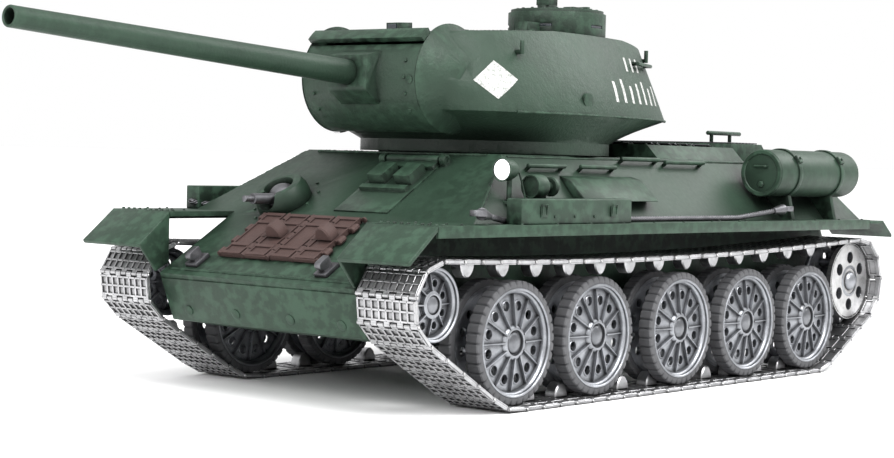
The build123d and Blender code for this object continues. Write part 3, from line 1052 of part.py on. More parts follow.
def roof_scope(x, y):
    """A roof periscope under its hood, standing square to the roof."""
    seat = roof_z(x) + SKIN_GAP
    hood = block(x - 5.2, x + 4.2, y - 3.8, y + 3.8, seat + 1.0, seat + 5.0)
    scope = disc_z(x, y, 5.4, seat, seat + 1.8) + hood
    if x < ROOF_FLAT_FRONT_X:
        return scope
    lean = math.degrees(math.atan2(ROOF_DROP_FRONT, ROOF_RUN_FRONT))
    return Pos(x, 0, roof_z(x)) * Rot(0, lean, 0) * Pos(-x, 0, -roof_z(x)) * scope


def turret_fittings():
    """Roof periscopes, hinge lugs, lifting hooks, side rails and pistol-port plugs."""
    pieces = [roof_scope(48.0, -20.0), roof_scope(14.0, 28.0)]
    hinges = ((cupola_hinge(), CUPOLA_Y, CUPOLA_TOP_Z), (loader_hinge(), LOADER_Y, TURRET_TOP_Z))
    for (hinge_x, hinge_z), y, base in hinges:
        for low, high in ((y - 6, y - 3.3), (y + 3.3, y + 6)):
            pieces.append(block(hinge_x - 1.2, hinge_x + 1.2, low, high, base + SKIN_GAP, hinge_z + 1.2))
    skin = turret_body(-SKIN_GAP)
    for _, sign in SIDES:
        for x, y, z in HOOK_SEATS:
            bend_y = y + 3.4
            hook = rod((x, y - 5, z), (x, bend_y, z), HOOK_R)
            hook += rod((x, bend_y, z - 1), (x, bend_y, z + 5), HOOK_R)
            pieces.append(on_side(hook - skin, sign))
        start, end = SIDE_RAIL
        bar = rod(start, end, RAIL_R)
        for share in (0.06, 0.94):
            foot = Vector(*start) + (Vector(*end) - Vector(*start)) * share
            bar += rod(tuple(foot), (foot.X, foot.Y - 7, foot.Z), RAIL_R)
        pieces.append(on_side(bar - skin, sign))
        plug_x, plug_y, plug_z = PORT_PLUG
        plug = rod((plug_x, plug_y - 6, plug_z), (plug_x, plug_y + 1.2, plug_z), 3.4)
        pieces.append(on_side(plug - skin, sign))
    return pieces


# ---- build every node -------------------------------------------------------------------------------
def main():
    os.makedirs("parts", exist_ok=True)
    save("lower_hull", *lower_hull())
    save("upper_hull", upper_hull())
    save("rear_plate", *rear_plate())
    save("exhaust_pipes", *exhaust_pipes())
    save("engine_deck", *engine_deck())
    save("mudguards", *mudguards())
    save("driver_hatch", driver_hatch())
    save("bow_gun_housing", bow_gun_housing())
    save("bow_gun", bow_gun())
    save("spare_track", *spare_track())
    save("grab_rails", *grab_rails())
    save("tow_gear", *tow_hooks(), *tow_cable())
    save("stowage_boxes", *stowage_boxes())
    save("fuel_drums", *fuel_drums())
    save("lamp_and_horn", *lamp_and_horn())
    save("battery_door", battery_door())
    save("battery", battery())
    save("control_board", control_board())
    save("speaker", speaker())
    save("power_switch", power_switch())
    save("gearboxes", *gearboxes())
    save("motors", *motors())
    save("track_pins", *track_pins())
    for name, sign in SIDES:
        save(f"track_{name}", *track_links(sign))
        save(f"motor_pinion_{name}", *[on_side(piece, sign) for piece in motor_pinion()])
        save(f"sprocket_{name}", *[on_side(piece, sign) for piece in drive_sprocket()])
        save(f"idler_{name}", *[on_side(piece, sign) for piece in idler_wheel()])
        for index in range(len(WHEEL_X)):
            save(f"road_wheel_{name}_{index + 1}", *[on_side(piece, sign) for piece in road_wheel(index)])
            save(f"swing_arm_{name}_{index + 1}", on_side(swing_arm(index), sign))
    save("turret_shell", turret_shell())
    save("turret_ring", turret_ring())
    save("turret_pinion", *turret_pinion())
    save("mantlet", mantlet())
    save("barrel", barrel())
    save("cupola", cupola())
    save("cupola_hatch", cupola_hatch())
    save("loader_hatch", loader_hatch())
    save("turret_fittings", *turret_fittings())


if __name__ == "__main__":
    main()
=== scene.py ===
"""Radio-controlled model tank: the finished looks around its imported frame."""

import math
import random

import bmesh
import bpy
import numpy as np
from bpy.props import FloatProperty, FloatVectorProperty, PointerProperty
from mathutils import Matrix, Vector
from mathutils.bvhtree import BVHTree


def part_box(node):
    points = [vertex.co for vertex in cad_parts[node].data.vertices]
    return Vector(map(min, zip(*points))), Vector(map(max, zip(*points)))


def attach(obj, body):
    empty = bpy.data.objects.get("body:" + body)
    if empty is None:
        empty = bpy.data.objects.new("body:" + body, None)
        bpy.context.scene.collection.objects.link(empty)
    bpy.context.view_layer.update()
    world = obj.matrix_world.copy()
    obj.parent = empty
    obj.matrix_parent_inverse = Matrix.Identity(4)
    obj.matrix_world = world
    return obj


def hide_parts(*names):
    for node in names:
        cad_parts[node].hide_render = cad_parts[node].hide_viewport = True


bl_info = {
    "name": "Model Tank",
    "version": (1, 0, 0),
    "blender": (4, 5, 0),
    "location": "View3D > Sidebar > Model Tank",
    "description": "Builds a radio-controlled model tank piece by piece around its packed frame",
    "category": "Object",
}

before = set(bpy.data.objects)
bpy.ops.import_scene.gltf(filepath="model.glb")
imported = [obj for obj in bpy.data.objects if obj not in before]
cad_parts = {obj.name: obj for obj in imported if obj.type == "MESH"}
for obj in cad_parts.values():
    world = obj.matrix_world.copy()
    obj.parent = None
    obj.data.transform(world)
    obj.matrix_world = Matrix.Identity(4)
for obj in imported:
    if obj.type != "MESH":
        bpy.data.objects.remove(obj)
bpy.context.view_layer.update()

MM = 0.001
ripple = random.Random(7)
SIDES = (("left", 1), ("right", -1))
WHEELS = range(1, 6)


# ---- places read from the frame ---------------------------------------------------------------------
def low(node):
    """Lowest corner of a CAD node, in millimetres."""
    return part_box(node)[0] / MM


def high(node):
    """Highest corner of a CAD node, in millimetres."""
    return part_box(node)[1] / MM


def middle(node):
    """Centre of a CAD node's box, in millimetres."""
    return (low(node) + high(node)) / 2


DATUM_X = (middle("road_wheel_left_2").x + middle("road_wheel_left_3").x) / 2   # hull datum along the tank
_trees = {}


def spot(x, y, z):
    """A place given from the hull datum, in millimetres."""
    return Vector((x + DATUM_X, y, z))


def seat_on(nodes, start, direction):
    """Where a line from a datum place first meets CAD nodes: the place and the outward normal."""
    start, direction = spot(*start), Vector(direction).normalized()
    found = []
    for node in nodes:
        if node not in _trees:
            shape = bmesh.new()
            shape.from_mesh(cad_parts[node].data)
            _trees[node] = BVHTree.FromBMesh(shape)
            shape.free()
        hit, normal, _, reach = _trees[node].ray_cast(start * MM, direction)
        if hit is not None:
            found.append((reach, hit / MM, -normal if normal.dot(direction) > 0 else normal))
    if not found:
        raise RuntimeError(f"nothing of {nodes} beyond {tuple(start)}")
    return min(found, key=lambda item: item[0])[1:]


# ---- mesh building ----------------------------------------------------------------------------------
def turn_to(direction, up=(0, 0, 1)):
    """Rotation whose Z axis points along a direction."""
    z = Vector(direction).normalized()
    side = Vector(up).cross(z)
    x = side.normalized() if side.length > 1e-6 else Vector((1, 0, 0))
    return Matrix((x, z.cross(x), z)).transposed().to_4x4()


def at(place, direction=(0, 0, 1), up=(0, 1, 0)):
    """A matrix at a place, in millimetres, with Z along a direction."""
    return Matrix.Translation(Vector(place)) @ turn_to(direction, up)


def circle(radius, count, turn=0.0):
    """Points round a circle, as (x, y), from an angle on."""
    angles = [turn + 2 * math.pi * k / count for k in range(count)]
    return [(radius * math.cos(angle), radius * math.sin(angle)) for angle in angles]


def move(x, y, z):
    """A matrix that only shifts."""
    return Matrix.Translation((x, y, z))


def divided(path, step):
    """Points about a step apart along a path, without its last one."""
    points = []
    for a, b in zip(path, path[1:]):
        count = max(1, round((b - a).length / step))
        points += [a.lerp(b, k / count) for k in range(count)]
    return points


class Form:
    """A mesh under construction, in millimetres, made of simple closed shapes."""

    def __init__(self):
        self.mesh = bmesh.new()

    def faces_of(self, points, faces, matrix=Matrix()):
        """Adds points and the faces between them."""
        made = [self.mesh.verts.new(matrix @ Vector(p)) for p in points]
        for face in faces:
            self.mesh.faces.new([made[i] for i in face])
        return made

    def box(self, a, b, matrix=Matrix(), bevel=0.0, segments=2):
        """A box between two corners, with rounded edges if bevel is given."""
        (x0, y0, z0), (x1, y1, z1) = a, b
        points = [(x, y, z) for x in (x0, x1) for y in (y0, y1) for z in (z0, z1)]
        faces = [(0, 1, 3, 2), (4, 6, 7, 5), (0, 4, 5, 1), (2, 3, 7, 6), (0, 2, 6, 4), (1, 5, 7, 3)]
        made = self.faces_of(points, faces, matrix)
        if bevel:
            edges = {edge for vert in made for edge in vert.link_edges}
            bmesh.ops.bevel(self.mesh, geom=list(edges), offset=bevel, segments=segments, profile=0.5,
                            affect="EDGES")

    def loft(self, rings, matrix=Matrix(), capped=True):
        """Skin over rings of equal point counts."""
        count = len(rings[0])
        points = [p for ring in rings for p in ring]
        faces = []
        for row in range(len(rings) - 1):
            here, above = row * count, (row + 1) * count
            for i in range(count):
                j = (i + 1) % count
                faces.append((here + i, here + j, above + j, above + i))
        if capped:
            faces.append(tuple(reversed(range(count))))
            faces.append(tuple(range((len(rings) - 1) * count, len(rings) * count)))
        self.faces_of(points, faces, matrix)

    def prism(self, outline, z0, z1, matrix, bevel):
        """An outline in local x and y raised from z0 to z1, with both rims bevelled."""
        inner = shrink(outline, bevel)
        levels = ((inner, z0), (outline, z0 + bevel), (outline, z1 - bevel), (inner, z1))
        self.loft([[(x, y, z) for x, y in shape] for shape, z in levels], matrix)

    def lathe(self, profile, steps, matrix=Matrix()):
        """A profile of (radius, height) turned about local Z, with flat ends."""
        self.loft([[(x, y, height) for x, y in circle(radius, steps)] for radius, height in profile], matrix)

    def tube(self, points, radius, steps=10, radii=None):
        """A round tube along points; radii gives one radius for each point."""
        points = [Vector(p) for p in points]
        rings, side = [], None
        for i, p in enumerate(points):
            ahead = (points[min(i + 1, len(points) - 1)] - points[max(i - 1, 0)]).normalized()
            if side is None:
                side = ahead.orthogonal().normalized()
            side = (side - ahead * side.dot(ahead)).normalized()
            other = ahead.cross(side)
            r = radii[i] if radii else radius
            rings.append([p + side * x + other * y for x, y in circle(r, steps)])
        self.loft(rings)

    def dome(self, radius, height, steps, matrix, rows=4):
        """A rounded cap standing on local z = 0."""
        angles = [math.pi / 2 * k / rows for k in range(rows)]
        profile = [(radius * math.cos(angle), height * math.sin(angle)) for angle in angles]
        self.lathe(profile + [(radius * 0.04, height)], steps, matrix)

    def bolts(self, nodes, starts, direction, radius, height=0.7, sides=6):
        """Chamfered bolt heads seated on CAD nodes where lines from datum places meet them."""
        profile = [(radius, -0.2), (radius, height * 0.6), (radius * 0.78, height)]
        for start in starts:
            self.lathe(profile, sides, at(*seat_on(nodes, start, direction)))

    def weld(self, nodes, starts, direction, radius=0.7):
        """A rippled weld bead laid on CAD nodes below a line of datum places."""
        seats = [seat_on(nodes, start, direction)[0] for start in starts]
        points = divided(seats, 0.8) + [seats[-1]]
        radii = [radius * (0.8 + 0.35 * ripple.random()) for _ in points]
        self.tube(points, radius, 6, radii)

    def slab_on(self, nodes, outline, direction, lift, cells, sunk=0.4):
        """A thin sheet over a four-cornered patch, pressed onto CAD nodes along a direction."""
        a, b, c, d = (Vector(corner) for corner in outline)
        grid = []
        for i in range(cells + 1):
            for j in range(cells + 1):
                u, v = i / cells, j / cells
                grid.append(seat_on(nodes, a.lerp(b, u).lerp(d.lerp(c, u), v), direction))
        size, row = len(grid), cells + 1
        points = [place + normal * lift for place, normal in grid]
        points += [place - normal * sunk for place, normal in grid]
        faces = []
        for i in range(cells):
            for j in range(cells):
                k = i * row + j
                quad = (k, k + row, k + row + 1, k + 1)
                faces += [quad, tuple(size + q for q in reversed(quad))]
        border = list(range(row)) + [i * row + cells for i in range(1, row)]
        border += [cells * row + j for j in range(cells - 1, -1, -1)]
        border += [i * row for i in range(cells - 1, 0, -1)]
        for here, after in zip(border, border[1:] + border[:1]):
            faces.append((here, after, after + size, here + size))
        self.faces_of(points, faces)

    def copy_of(self, other, matrix):
        """Adds another form, moved by a matrix."""
        points = [matrix @ vert.co for vert in other.mesh.verts]
        other.mesh.verts.index_update()
        made = [self.mesh.verts.new(p) for p in points]
        for face in other.mesh.faces:
            self.mesh.faces.new([made[vert.index] for vert in face.verts])

    def finish(self, name, body, material, slot, replaced=(), smooth=35.0):
        """Turns the form into a piece, in metres, that rides on a body."""
        bmesh.ops.recalc_face_normals(self.mesh, faces=self.mesh.faces)
        data = bpy.data.meshes.new(name)
        bmesh.ops.scale(self.mesh, vec=(MM, MM, MM), verts=self.mesh.verts)
        self.mesh.to_mesh(data)
        self.mesh.free()
        return piece_of(name, data, body, material, replaced, smooth)


def shrink(outline, depth):
    """An outline pulled in by depth, whichever way round it runs."""
    area = sum(a[0] * b[1] - b[0] * a[1] for a, b in zip(outline, outline[1:] + outline[:1]))
    sign = 1 if area > 0 else -1
    pulled = []
    for i, here in enumerate(outline):
        before, after = outline[i - 1], outline[(i + 1) % len(outline)]
        d0 = (Vector(here) - Vector(before)).normalized()
        d1 = (Vector(after) - Vector(here)).normalized()
        n0, n1 = Vector((-d0.y, d0.x)) * sign, Vector((-d1.y, d1.x)) * sign
        mean = n0 + n1
        pulled.append(tuple(Vector(here) + mean * depth / max(0.35, 1 + n0.dot(n1))))
    return pulled


def piece_of(name, data, body, material, replaced=(), smooth=35.0):
    """Links a mesh as a finished piece of one body."""
    made = bpy.data.objects.new(name, data)
    bpy.context.collection.objects.link(made)
    data.materials.append(material)
    for polygon in data.polygons:
        polygon.use_smooth = True
    if smooth:
        data.set_sharp_from_angle(angle=math.radians(smooth))
    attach(made, body)
    if replaced:
        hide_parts(*replaced)
    return made


def tidy_copy(node):
    """A welded copy of a CAD node's mesh with its flat faces joined up."""
    shape = bmesh.new()
    shape.from_mesh(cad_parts[node].data)
    bmesh.ops.remove_doubles(shape, verts=shape.verts, dist=1e-6)
    bmesh.ops.dissolve_limit(shape, angle_limit=math.radians(1.0), verts=shape.verts, edges=shape.edges)
    return shape


def refined(node, body, material, bevel=0.4, smooth=40.0):
    """A CAD node's shape with eased edges, standing for the node."""
    shape = tidy_copy(node)
    data = bpy.data.meshes.new(node + "_finish")
    shape.to_mesh(data)
    shape.free()
    made = piece_of(node + "_finish", data, body, material, [node], smooth=0)
    ease = made.modifiers.new("eased_edges", "BEVEL")
    ease.width = bevel * MM
    ease.segments = 2
    ease.limit_method = "ANGLE"
    ease.angle_limit = math.radians(smooth)
    ease.use_clamp_overlap = True
    apply_modifiers(made)
    made.data.set_sharp_from_angle(angle=math.radians(50))
    return made


def apply_modifiers(made):
    """Applies a piece's modifiers to its mesh."""
    graph = bpy.context.evaluated_depsgraph_get()
    finished = bpy.data.meshes.new_from_object(made.evaluated_get(graph))
    made.modifiers.clear()
    made.data = finished


# ---- shader values ----------------------------------------------------------------------------------
class Value:
    """A shader value whose arithmetic adds Math nodes to its material."""

    def __init__(self, finish, socket):
        self.finish, self.socket = finish, socket

    def math(self, operation, other=0.0, swapped=False, clamp=False):
        sides = (other, self) if swapped else (self, other)
        return self.finish.value("ShaderNodeMath", {"operation": operation, "use_clamp": clamp},
                                 {0: sides[0], 1: sides[1]})

    def __add__(self, other):
        return self.math("ADD", other)

    def __sub__(self, other):
        return self.math("SUBTRACT", other)

    def __mul__(self, other):
        return self.math("MULTIPLY", other)

    def __rsub__(self, other):
        return self.math("SUBTRACT", other, swapped=True)

    __radd__, __rmul__ = __add__, __mul__

    def step(self, start, end):
        """0 below start, 1 above end, smooth between."""
        return self.finish.value("ShaderNodeMapRange", {"interpolation_type": "SMOOTHSTEP"},
                                 {"Value": self, "From Min": start, "From Max": end})


class Finish:
    """One material, with short ways to add its nodes."""

    def __init__(self, name, metallic=0.0, roughness=0.5, specular=0.5, coat=0.0):
        self.material = bpy.data.materials.new(name)
        self.material.use_nodes = True
        self.tree = self.material.node_tree
        self.shader = self.tree.nodes["Principled BSDF"]
        for key, constant in (("Metallic", metallic), ("Roughness", roughness),
                              ("Specular IOR Level", specular),
                              ("Coat Weight", coat), ("Coat Roughness", 0.2)):
            self.shader.inputs[key].default_value = constant
        self.place = self.node("ShaderNodeTexCoord").outputs["Object"]

    def node(self, kind, settings=None, inputs=None):
        """Adds a node: its settings first, then the values or links of its sockets."""
        made = self.tree.nodes.new(kind)
        for name, setting in (settings or {}).items():
            setattr(made, name, setting)
        for key, given in (inputs or {}).items():
            source = given.socket if isinstance(given, Value) else given
            if isinstance(source, bpy.types.NodeSocket):
                self.tree.links.new(source, made.inputs[key])
            else:
                made.inputs[key].default_value = source
        return made

    def value(self, kind, settings=None, inputs=None, output=0):
        """Adds a node and gives one output as a value."""
        return Value(self, self.node(kind, settings, inputs).outputs[output])

    def noise(self, size, detail=3.0, rough=0.55):
        """Noise whose features are about size millimetres across."""
        return self.value("ShaderNodeTexNoise", None,
                          {"Vector": self.place, "Scale": 1 / (size * MM), "Detail": detail,
                           "Roughness": rough})

    def edges(self, low_end=0.505, high_end=0.56):
        """1 on convex edges, from the mesh's pointiness."""
        return self.value("ShaderNodeNewGeometry", output="Pointiness").step(low_end, high_end)

    def hollows(self, reach=3.0):
        """1 in corners and recesses, 0 in the open, from ambient occlusion; the finishes paint shade with
        it.
        """
        return 1 - self.value("ShaderNodeAmbientOcclusion", {"samples": 4, "only_local": False},
                              {"Distance": reach * MM}, output=1)

    def mix(self, factor, first, second):
        """A colour between two colours."""
        first, second = ((*part, 1.0) if isinstance(part, tuple) else part for part in (first, second))
        return self.node("ShaderNodeMix", {"data_type": "RGBA"}, {0: factor, 6: first, 7: second}).outputs[2]

    def put(self, name, source):
        """Links a varying value or colour to one of the shader's sockets."""
        self.tree.links.new(source.socket if isinstance(source, Value) else source, self.shader.inputs[name])

    def relief(self, height, depth):
        """Surface relief, depth in millimetres for a height of 0 to 1."""
        self.put("Normal", self.value("ShaderNodeBump", None, {"Height": height, "Distance": depth * MM}))

    def done(self, colour, roughness, height, depth):
        """Links the colour, the roughness and the relief, and gives the material."""
        self.put("Base Color", colour)
        self.put("Roughness", roughness)
        self.relief(height, depth)
        return self.material


def shade(colour, factor):
    """A colour made lighter or darker."""
    return tuple(min(1.0, part * factor) for part in colour)


# ---- finishes ---------------------------------------------------------------------------------------
def painted(name, colour, cast=0.0):
    """Satin paint with painted shade darkening the recesses, worn lighter on the edges; cast adds a rough
    skin.
    """
    finish = Finish(name, roughness=0.48, specular=0.22)
    cloud = finish.noise(38, 4)
    fine = finish.noise(2.2, 4)
    streak = finish.noise(9, 5, 0.65)
    base = finish.mix(cloud.step(0.3, 0.72), shade(colour, 0.84), shade(colour, 1.12))
    base = finish.mix(streak.step(0.45, 0.8) * 0.16, base, shade(colour, 1.4))
    # painted shade: corners and recesses darken towards a tenth of the colour, by ambient occlusion
    deep = (finish.hollows(14.0) * 1.7).math("MINIMUM", 1.0)
    base = finish.mix(deep * 0.9, base, shade(colour, 0.10))
    worn = finish.edges() * finish.noise(5, 3).step(0.42, 0.62)
    base = finish.mix(worn * 0.45, base, shade(colour, 2.3))
    skin = finish.noise(1.3, 5, 0.6) * 0.6 + finish.noise(6, 3) * 0.6 if cast else fine * 0.5
    return finish.done(base, fine * 0.16 + cloud * 0.10 + 0.34, skin, 0.10 + cast)


def bare_metal(name, colour, dirt_and_shade, roughness):
    """Bare cast or pressed metal with painted shade in its recesses and patches of dark dirt."""
    finish = Finish(name, metallic=1.0, roughness=roughness)
    cloud, fine = finish.noise(7, 4), finish.noise(1.2, 4, 0.6)
    base = finish.mix(cloud.step(0.3, 0.75), shade(colour, 0.78), shade(colour, 1.12))
    # painted shade in the recesses, by ambient occlusion, plus random patches of dark dirt; both mix towards
    # the dark colour
    deep = (finish.hollows(2.2) * 1.7 + finish.noise(3, 4).step(0.52, 0.8) * 0.25).math("MINIMUM", 1.0)
    base = finish.mix(deep * 0.9, base, dirt_and_shade)
    return finish.done(base, fine * 0.22 + deep * 0.35 + (roughness - 0.1), fine, 0.09)


def rubber(name):
    """Dark moulded rubber with a dusty bloom."""
    finish = Finish(name, roughness=0.62, specular=0.35)
    dust = finish.noise(6, 4)
    base = finish.mix(dust.step(0.4, 0.8), (0.012, 0.013, 0.015), (0.045, 0.047, 0.05))
    base = finish.mix(finish.edges() * 0.6, base, (0.10, 0.10, 0.105))
    return finish.done(base, finish.noise(1.5, 3) * 0.2 + 0.5, finish.noise(0.9, 3), 0.05)


def plain_plastic(name, colour, roughness=0.5, coat=0.0):
    """Moulded plastic with a fine grain and slight mottling."""
    finish = Finish(name, roughness=roughness, specular=0.45, coat=coat)
    mottle = finish.noise(11, 3)
    base = finish.mix(mottle, shade(colour, 0.75), shade(colour, 1.25))
    # painted shade: corners and recesses darken, by ambient occlusion
    base = finish.mix(finish.hollows(3.0) * 0.6, base, shade(colour, 0.3))
    return finish.done(base, finish.noise(1.0, 2) * 0.15 + (roughness - 0.07), finish.noise(0.7, 2), 0.06)


def rusty_links(name, colour):
    """Brown painted spare links, dry-brushed lighter on the raised edges."""
    finish = Finish(name, roughness=0.66, specular=0.3)
    base = finish.mix(finish.noise(4, 5, 0.65).step(0.3, 0.75), shade(colour, 0.55), shade(colour, 1.25))
    base = finish.mix(finish.edges(0.5, 0.54) * 0.5, base, shade(colour, 2.4))
    # painted shade: corners and recesses darken, by ambient occlusion
    base = finish.mix(finish.hollows(2.5) * 0.9, base, shade(colour, 0.12))
    return finish.done(base, finish.noise(2, 4) * 0.25 + 0.5, finish.noise(0.9, 5, 0.65), 0.16)


def chalk_paint(name):
    """Thin white paint, scuffed so that the coat below shows through."""
    finish = Finish(name, roughness=0.6, specular=0.3)
    scuff = finish.noise(1.1, 5, 0.75).step(0.46, 0.62)
    base = finish.mix(scuff * 0.8, (0.42, 0.42, 0.41), (0.12, 0.14, 0.12))
    return finish.done(base, finish.noise(2, 3) * 0.2 + 0.5, finish.noise(0.8, 3), 0.05)


def lit_glass(name):
    """The headlamp's lens, lit from behind, with fluted ribs."""
    finish = Finish(name, roughness=0.15)
    ribs = finish.value("ShaderNodeTexWave", {"wave_type": "BANDS", "bands_direction": "Y"},
                        {"Vector": finish.place, "Scale": 260.0, "Distortion": 0.3})
    finish.put("Emission Color", finish.mix(ribs, (1.0, 0.97, 0.88), (0.86, 0.92, 1.0)))
    finish.shader.inputs["Emission Strength"].default_value = 1.6
    finish.put("Base Color", finish.mix(ribs, (0.9, 0.9, 0.9), (0.7, 0.75, 0.8)))
    finish.relief(ribs, 0.2)
    return finish.material


def studio_floor(colour):
    """Pale matt studio floor."""
    finish = Finish("studio_floor", roughness=0.7, specular=0.1)
    finish.put("Base Color", finish.mix(finish.noise(300, 2), shade(colour, 0.99), shade(colour, 1.0)))
    return finish.material


_finishes = {}


def finish_for(name):
    """Each finish is made once, from the colours in the panel."""
    colours = bpy.context.scene.tank_colours
    recipes = {
        "paint": lambda: painted("olive_paint", colours.paint),
        "cast_paint": lambda: painted("cast_olive_paint", colours.paint, cast=0.22),
        "wheel": lambda: bare_metal("wheel_silver", colours.wheel, (0.03, 0.03, 0.032), 0.36),
        "track": lambda: bare_metal("track_silver", colours.track, (0.02, 0.019, 0.018), 0.34),
        "cap": lambda: bare_metal("cap_silver", shade(colours.wheel, 0.62), (0.03, 0.03, 0.032), 0.3),
        "steel": lambda: bare_metal("machined_steel", (0.5, 0.5, 0.5), (0.05, 0.05, 0.05), 0.3),
        "dark_steel": lambda: bare_metal("blackened_steel", (0.16, 0.16, 0.17), (0.01, 0.01, 0.01), 0.45),
        "rubber": lambda: rubber("tyre_rubber"),
        "black": lambda: plain_plastic("black_plastic", (0.02, 0.02, 0.021), 0.55),
        "brown": lambda: rusty_links("brown_links", colours.spare),
        "white": lambda: chalk_paint("white_marking"),
        "lens": lambda: lit_glass("lamp_lens"),
        "glass": lambda: plain_plastic("sight_glass", (0.01, 0.016, 0.022), 0.12, coat=0.8),
        "board": lambda: plain_plastic("circuit_board", (0.02, 0.16, 0.06), 0.35, coat=0.5),
        "wrap": lambda: plain_plastic("battery_wrap", (0.03, 0.08, 0.3), 0.3, coat=0.6),
    }
    if name not in _finishes:
        _finishes[name] = recipes[name]()
    return _finishes[name]


# ---- what a user would change -----------------------------------------------------------------------
def colour_setting(name, description, rgb):
    """A colour setting."""
    return FloatVectorProperty(name=name, description=description, subtype="COLOR", default=rgb,
                               min=0, max=1)


def size_setting(name, description, millimetres, least, most):
    """A size setting, in millimetres."""
    return FloatProperty(name=name, description=description, default=millimetres, min=least, max=most)


class TankColours(bpy.types.PropertyGroup):
    """Colours of the tank's finishes."""
    paint: colour_setting("Paint", "Satin paint of the hull and turret", (0.017, 0.034, 0.022))
    wheel: colour_setting("Wheels", "Bare metal of the wheels", (0.30, 0.31, 0.33))
    track: colour_setting("Tracks", "Bare metal of the links", (0.46, 0.46, 0.47))
    spare: colour_setting("Spare links", "Paint of the spare links", (0.030, 0.017, 0.015))
    floor: colour_setting("Floor", "Studio floor", (0.92, 0.92, 0.92))


class TankSizes(bpy.types.PropertyGroup):
    """Sizes of the tank's finer details."""
    bevel: size_setting("Edge", "Width of the eased edges of plates", 0.45, 0.1, 1.0)
    tyre: size_setting("Tyre", "Depth of a tyre", 3.0, 1.5, 4.0)
    bolt: size_setting("Bolt", "Radius of a small bolt head", 0.75, 0.4, 1.5)


# ---- plates and shells that keep the CAD's shape --------------------------------------------------------
HULL_PLATES = ["lower_hull", "upper_hull", "rear_plate", "engine_deck", "mudguards", "bow_gun_housing",
               "stowage_boxes", "fuel_drums", "battery_door", "driver_hatch", "grab_rails"]
OTHER_HULL_PIECES = [("exhaust_pipes", "dark_steel", "dark_plastic"), ("battery", "wrap", "battery_wrap"),
                     ("control_board", "board", "board_green"), ("speaker", "black", "dark_plastic"),
                     ("gearboxes", "steel", "gear_steel"), ("motors", "steel", "motor_can"),
                     ("tow_gear", "dark_steel", "dark_plastic")]


class TANK_OT_plates(bpy.types.Operator):
    """Hull plates, guards, boxes and covers, with eased edges and worn paint"""
    bl_idname = "tank.plates"
    bl_label = "Hull plates"

    def execute(self, context):
        bevel = context.scene.tank_sizes.bevel
        for node in HULL_PLATES:
            body = "driver_hatch" if node == "driver_hatch" else "hull"
            refined(node, body, finish_for("paint"), bevel)
        for node, finish, slot in OTHER_HULL_PIECES:
            refined(node, "hull", finish_for(finish), 0.25)
        refined("power_switch", "power_switch", finish_for("black"), 0.3)
        refined("bow_gun", "bow_gun", finish_for("dark_steel"), 0.2)
        return {"FINISHED"}


class TANK_OT_turret(bpy.types.Operator):
    """Cast turret, mantlet, gun barrel, cupola and lids"""
    bl_idname = "tank.turret"
    bl_label = "Turret"

    def execute(self, context):
        bevel = context.scene.tank_sizes.bevel
        for node in ("turret_shell", "cupola", "turret_fittings"):
            refined(node, "turret", finish_for("cast_paint"), bevel)
        refined("turret_ring", "turret", finish_for("black"), 0.2)
        refined("turret_pinion", "turret_pinion", finish_for("steel"), 0.1)
        for node in ("mantlet", "barrel", "cupola_hatch", "loader_hatch"):
            refined(node, node, finish_for("cast_paint"), bevel)
        return {"FINISHED"}


# ---- fittings of the hull ----------------------------------------------------------------------------
HULL_SKIN = ("upper_hull", "mudguards", "lower_hull", "rear_plate", "engine_deck", "bow_gun_housing")
ROOF_FRONT, ROOF_Z = 67.0, 106.0
GLACIS_RUN, GLACIS_FALL = 91.6, 55.1
SHELF_Z = 77.4


SLOPE = Vector((GLACIS_RUN, 0, -GLACIS_FALL)).normalized()
OUTWARD = Vector((GLACIS_FALL, 0, GLACIS_RUN)).normalized()


def on_glacis(along, across, out=0.0):
    """A datum place given down the front plate from its top edge, across it, and out of it."""
    return Vector((ROOF_FRONT, across, ROOF_Z)) + SLOPE * along + OUTWARD * out


DOWN, FORWARD, BACKWARD = (0, 0, -1), (1, 0, 0), (-1, 0, 0)
ABOVE, BEHIND, AHEAD, BESIDE = 200.0, -260.0, 220.0, 130.0     # places outside the tank, where lines start
SHELF_BOLT_Y, DRUM_Y, DRUM_Z, DRUM_STRAP_IN = 88.5, 79.0, 100.4, 18.0
DRUMS = ((1, -190.5, -112.5), (-1, -190.5, -112.5), (-1, -96.0, -18.0))


